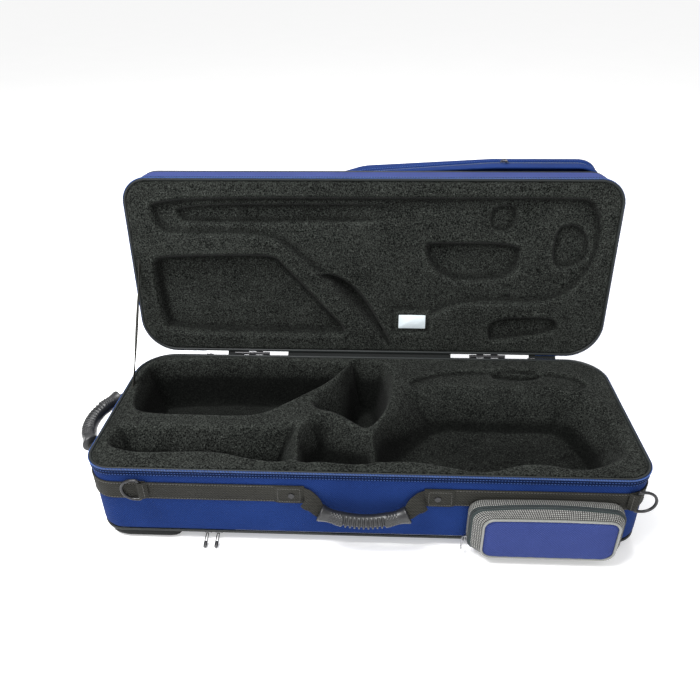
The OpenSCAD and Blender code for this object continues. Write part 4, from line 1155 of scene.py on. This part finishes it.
stay_low, stay_high = box_mm("base_stay_anchor")
base_end = (stay_low + stay_high)/2
base_end[2] = stay_high[2] - 1.5
lid_low, lid_high = box_mm("lid_stay_anchor")
lid_end = (lid_low + lid_high)/2
route = curve([base_end, base_end*0.66 + lid_end*0.34 + [0.3, -1.0, -1.5],
               base_end*0.33 + lid_end*0.67 + [0.3, -1.0, -1.5], lid_end], 60)
ahead = headings(route)
wide_way = np.cross(ahead, [1.0, 0, 0])
turned = np.sin(np.linspace(0, math.pi, len(route)))[:, None]*math.radians(38)
thick_way = np.cos(turned)*[1.0, 0, 0] + np.sin(turned)*wide_way
wide_way = np.cross(ahead, thick_way)
stay = skin("stay_strap", sweep(route, thick_way, wide_way, strip(2.0, 10.5, 0.6)), WEBBING, None, "webbing")
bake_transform(stay)
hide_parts("lid_stay")


def hinge_cloth(name, x0, x1):
    """A strip of cloth that closes the gap behind the rims between two hinges."""
    along = np.linspace(x0, x1, 40)
    low = np.array([0, -FRONT_Y - 0.4, RIM_Z - 4.5])
    high = np.array(LID @ Vector((0, (-FRONT_Y - 0.4)*MM, (LID_RIM_Z + 4.5)*MM)))/MM
    across = unit(np.cross(high - low, [1.0, 0, 0]))
    rings = []
    for share in np.linspace(0, 1, 7):
        middle = low + (high - low)*share + across*2.0*math.sin(math.pi*share)
        front = middle + np.outer(along, [1.0, 0, 0]) + across*0.5
        rings.append(np.vstack([front, front[::-1] - across]))
    cloth = skin(name, rings, BLACK_CLOTH, None, "black_cloth")
    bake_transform(cloth)


hinge_cloth("left_hinge_cloth", -262, -232)
hinge_cloth("middle_hinge_cloth", -150, 150)
hinge_cloth("right_hinge_cloth", 292, 340)

label_low, label_high = shut_box("lining_label")
rings = []
for grow, z in ((-0.5, label_low[2] + 0.7), (0.0, label_low[2] + 0.5), (0.0, label_low[2] + 0.1),
                (-0.3, label_low[2] - 0.1)):
    ring = round_rect(label_low[0] - grow, label_high[0] + grow, label_low[1] - grow, label_high[1] + grow, 1.2)
    rings.append(np.c_[ring, z + 0.25*np.sin(ring[:, 0]/9)])
label = skin("blank_label", rings, LABEL, "lid", "white_label", True)
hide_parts("lining_label")


# ---- zip sliders and pulls ----

def zip_slider(name, centre, run, out, finish, body, node, lid=False, scale=1.0):
    """A zip slider: a waisted lower and upper plate joined by a post, with a bridge on top."""
    run, out = np.array(run, float), np.array(out, float)
    wide = np.cross(out, run)
    parts = []

    def plate(low, high, lift=0.0):
        xs = np.linspace(-6.6, 6.6, 15)*scale
        half = (2.7 + 1.3*(np.abs(xs/6.6/scale)**1.6))*scale
        half[-1] *= 0.75
        half[0] *= 0.75
        rings = []
        for level, shrink in ((low, 0.88), (low + 0.25, 1.0), (high - 0.35, 1.0), (high, 0.84)):
            bow = lift*(1 - (xs/(6.6*scale))**2)
            right, left = ([centre + run*x*shrink + way*wide*h*shrink + out*(level + b)
                            for x, h, b in zip(xs, half, bow)] for way in (1, -1))
            rings.append(right + left[::-1])
        parts.append(loft(rings))

    plate(-1.9*scale, -0.7*scale)
    plate(0.6*scale, 1.9*scale, 0.25)
    arch = [centre + run*x*scale + out*(1.8 + h)*scale for x, h in (
        (-4.4, -0.2), (-4.2, 1.2), (-3.2, 2.3), (-1.5, 2.8), (1.5, 2.8), (3.2, 2.3), (4.2, 1.2), (4.4, -0.2))]
    arch = curve(arch, 22)
    parts.append(loft(sweep(arch, wide, np.cross(headings(arch), wide), strip(2.2*scale, 1.0*scale, 0.3))))
    post = curve([centre - out*1.2*scale + run*4.2*scale, centre + run*4.2*scale, centre + out*1.0*scale
                  + run*4.2*scale], 4)
    parts.append(loft(sweep(post, wide, run, strip(2.0*scale, 2.6*scale, 0.4))))
    made = piece(name, *join(parts), finish, body, "zip_metal", lid=lid, smooth=40)
    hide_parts(node)


def zip_pull(name, pivot, hang, out, length, finish, body, node, lid=False):
    """A pull: an eye round the slider's bar, a tapering neck and a wire loop with a round end."""
    pivot, hang, out = (np.array(v, float) for v in (pivot, hang, out))
    hang = unit(hang)
    wide = unit(np.cross(out, hang))
    half = [(1.6, -1.0), (1.7, 2), (1.9, length*0.4), (2.2, length*0.75), (1.9, length - 2)]
    outline = curve([(-w, h) for w, h in half] + [(0, length - 0.3)] + half[::-1], 60)
    path = pivot + outline[:, :1]*wide + outline[:, 1:]*hang
    ahead = unit(np.roll(path, -1, 0) - np.roll(path, 1, 0))
    lift = np.cross(wide, hang)
    wire = loft(sweep(path, np.cross(ahead, lift), lift, circle(0.75, 8)), closed=True)
    tab = [pivot + hang*t for t in np.linspace(length*0.52, length - 1.6, 8)]
    widths = [1.6, 1.9, 2.0, 2.0, 2.0, 2.0, 1.7, 1.0]
    section = np.stack([strip(2*w, 1.0, 0.3) for w in widths])
    made = piece(name, *join([wire, loft(sweep(tab, wide, lift, section))]), finish, body, "black_zip", lid=lid,
                 smooth=50)
    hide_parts(node)


def joint_pivot(name, lid=False):
    """Where a joint's axis passes, in millimetres; for a lid piece, with the lid shut."""
    pivot = Vector(JOINTS[name]["pos_m"])
    if lid:
        pivot = LID.inverted() @ pivot
    return np.array(pivot)/MM


for side, s in (("left", -1), ("right", 1)):
    low, high = box_mm(f"{side}_main_slider")
    centre = (low + high)/2
    centre[1] = CASE_W/2 + 2.1
    zip_slider(f"{side}_zip_slider", centre, (s, 0, 0), (0, 1, 0), STEEL, "base", f"{side}_main_slider")
    zip_pull(f"{side}_zip_pull", joint_pivot(f"{side}_main_pull_swing"), (0, 0, -1), (0, 1, 0), 25.5, DARK_METAL,
             f"{side}_main_pull", f"{side}_main_pull")
    low, high = box_mm(f"{side}_harness_slider")
    centre = (low + high)/2
    centre[1] = high[1] - 4.2
    zip_slider(f"{side}_pouch_slider", centre, (s, 0, 0), (0, -0.3, 0.95), STEEL, f"{side}_harness_slider",
               f"{side}_harness_slider", scale=0.9)
    lean = math.radians(17)
    zip_pull(f"{side}_pouch_pull", joint_pivot(f"{side}_harness_pull_swing"), (0, -math.cos(lean), -math.sin(lean)),
             (0, -math.sin(lean), math.cos(lean)), 23.2, DARK_METAL, f"{side}_harness_pull", f"{side}_harness_pull")

low, high = box_mm("pocket_slider")
centre = (low + high)/2
centre[0] = high[0] - 2.1
zip_slider("front_pocket_slider", centre, (0, 0, 1), (-1, 0, 0), STEEL, "pocket_slider", "pocket_slider")
zip_pull("front_pocket_pull", joint_pivot("pocket_pull_swing"), (0, 0, -1), (-1, 0, 0), 23.5, STEEL, "pocket_pull",
         "pocket_pull")

low, high = shut_box("lid_pocket_slider")
centre = (low + high)/2
centre[1] = high[1] - 2.1
zip_slider("lid_bag_slider", centre, (1, 0, 0), (0, -1, 0), DARK_METAL, "lid_pocket_slider", "lid_pocket_slider",
           lid=True)
zip_pull("lid_bag_pull", joint_pivot("lid_pocket_pull_swing", True), (0, 0, -1), (0, -1, 0), 21.5, DARK_METAL,
         "lid_pocket_pull", "lid_pocket_pull", lid=True)


# ---- finishes of the CAD nodes that stay ----

CAD_FINISHES = {
    "base_core": FOAM, "lid_core": FOAM, "base_edge_piping": PIPING, "lid_edge_piping": PIPING,
    "handle_rivets": DARK_METAL, "hinge_base_leaves": DARK_METAL, "hinge_lid_leaves": DARK_METAL,
    "hinge_pins": STEEL, "harness_zip": BLACK_TAPE, "backpack_straps": WEBBING, "base_stay_anchor": WEBBING,
    "lid_stay_anchor": WEBBING, "left_ring": DARK_METAL, "right_ring": DARK_METAL,
}
for node, obj in frame["nodes"].items():
    finish = CAD_FINISHES.get(node, FOAM)
    if obj.data.materials:
        for index in range(len(obj.data.materials)):
            obj.data.materials[index] = finish
    else:
        obj.data.materials.append(finish)


# ---- floor, light, camera ----

def stage_material():
    """The plain pale floor, faintly uneven."""
    made = bpy.data.materials.new("studio_floor")
    made.use_nodes = True
    tree = made.node_tree
    surface = tree.nodes["Principled BSDF"]
    where = tree.nodes.new("ShaderNodeTexCoord").outputs["Object"]
    ramp = tree.nodes.new("ShaderNodeMix")
    ramp.data_type = "RGBA"
    ramp.inputs[6].default_value = (0.93, 0.93, 0.93, 1)
    ramp.inputs[7].default_value = (0.96, 0.96, 0.96, 1)
    tree.links.new(noise(tree, where, 3.0), ramp.inputs[0])
    tree.links.new(ramp.outputs[2], surface.inputs["Base Color"])
    surface.inputs["Roughness"].default_value = 0.9
    surface.inputs["Specular IOR Level"].default_value = 0.0
    surface.inputs["Emission Color"].default_value = (1, 1, 1, 1)
    surface.inputs["Emission Strength"].default_value = 0.25
    return made


bpy.ops.mesh.primitive_plane_add(size=60, location=(0, 0, 0))
floor = bpy.context.active_object
floor.name = "studio_floor"
floor.data.materials.append(stage_material())

world = bpy.data.worlds.new("studio")
bpy.context.scene.world = world
world.use_nodes = True
world.node_tree.nodes["Background"].inputs["Color"].default_value = (1, 1, 1, 1)
world.node_tree.nodes["Background"].inputs["Strength"].default_value = 0.72


def softbox(name, location, target, size, watts):
    """A large square area light that looks at a point."""
    data = bpy.data.lights.new(name, "AREA")
    data.shape = "SQUARE"
    data.size = size
    data.energy = watts
    lamp = bpy.data.objects.new(name, data)
    bpy.context.scene.collection.objects.link(lamp)
    lamp.location = location
    lamp.rotation_euler = (Vector(target) - Vector(location)).to_track_quat("-Z", "Y").to_euler()


softbox("key", (-0.85, -0.5, 2.1), (0, 0.12, 0.25), 0.9, 66)
softbox("front_fill", (0.5, -2.8, 1.2), (0, 0, 0.15), 1.8, 27)
softbox("back_rim", (0.2, 2.0, 2.0), (0, 0.2, 0.35), 1.6, 30)

CAMERA = np.array([19.30, -868.55, 784.54])
YAW, PITCH, ROLL = -0.0525, 0.5483, 0.0130
LENS = 33.81
ahead = Vector((math.sin(YAW)*math.cos(PITCH), math.cos(YAW)*math.cos(PITCH), -math.sin(PITCH)))
right = Vector((math.cos(YAW), -math.sin(YAW), 0))
below = ahead.cross(right)
axis_x = math.cos(ROLL)*right + math.sin(ROLL)*below
axis_y = math.sin(ROLL)*right - math.cos(ROLL)*below
camera_data = bpy.data.cameras.new("camera")
camera_data.lens = LENS
camera_data.sensor_width = 36
camera = bpy.data.objects.new("camera", camera_data)
bpy.context.scene.collection.objects.link(camera)
turn = Matrix((axis_x, axis_y, -ahead)).transposed()
camera.matrix_world = Matrix.Translation(Vector(CAMERA*MM)) @ turn.to_4x4()
bpy.context.scene.camera = camera
bpy.context.scene.view_settings.view_transform = "Standard"
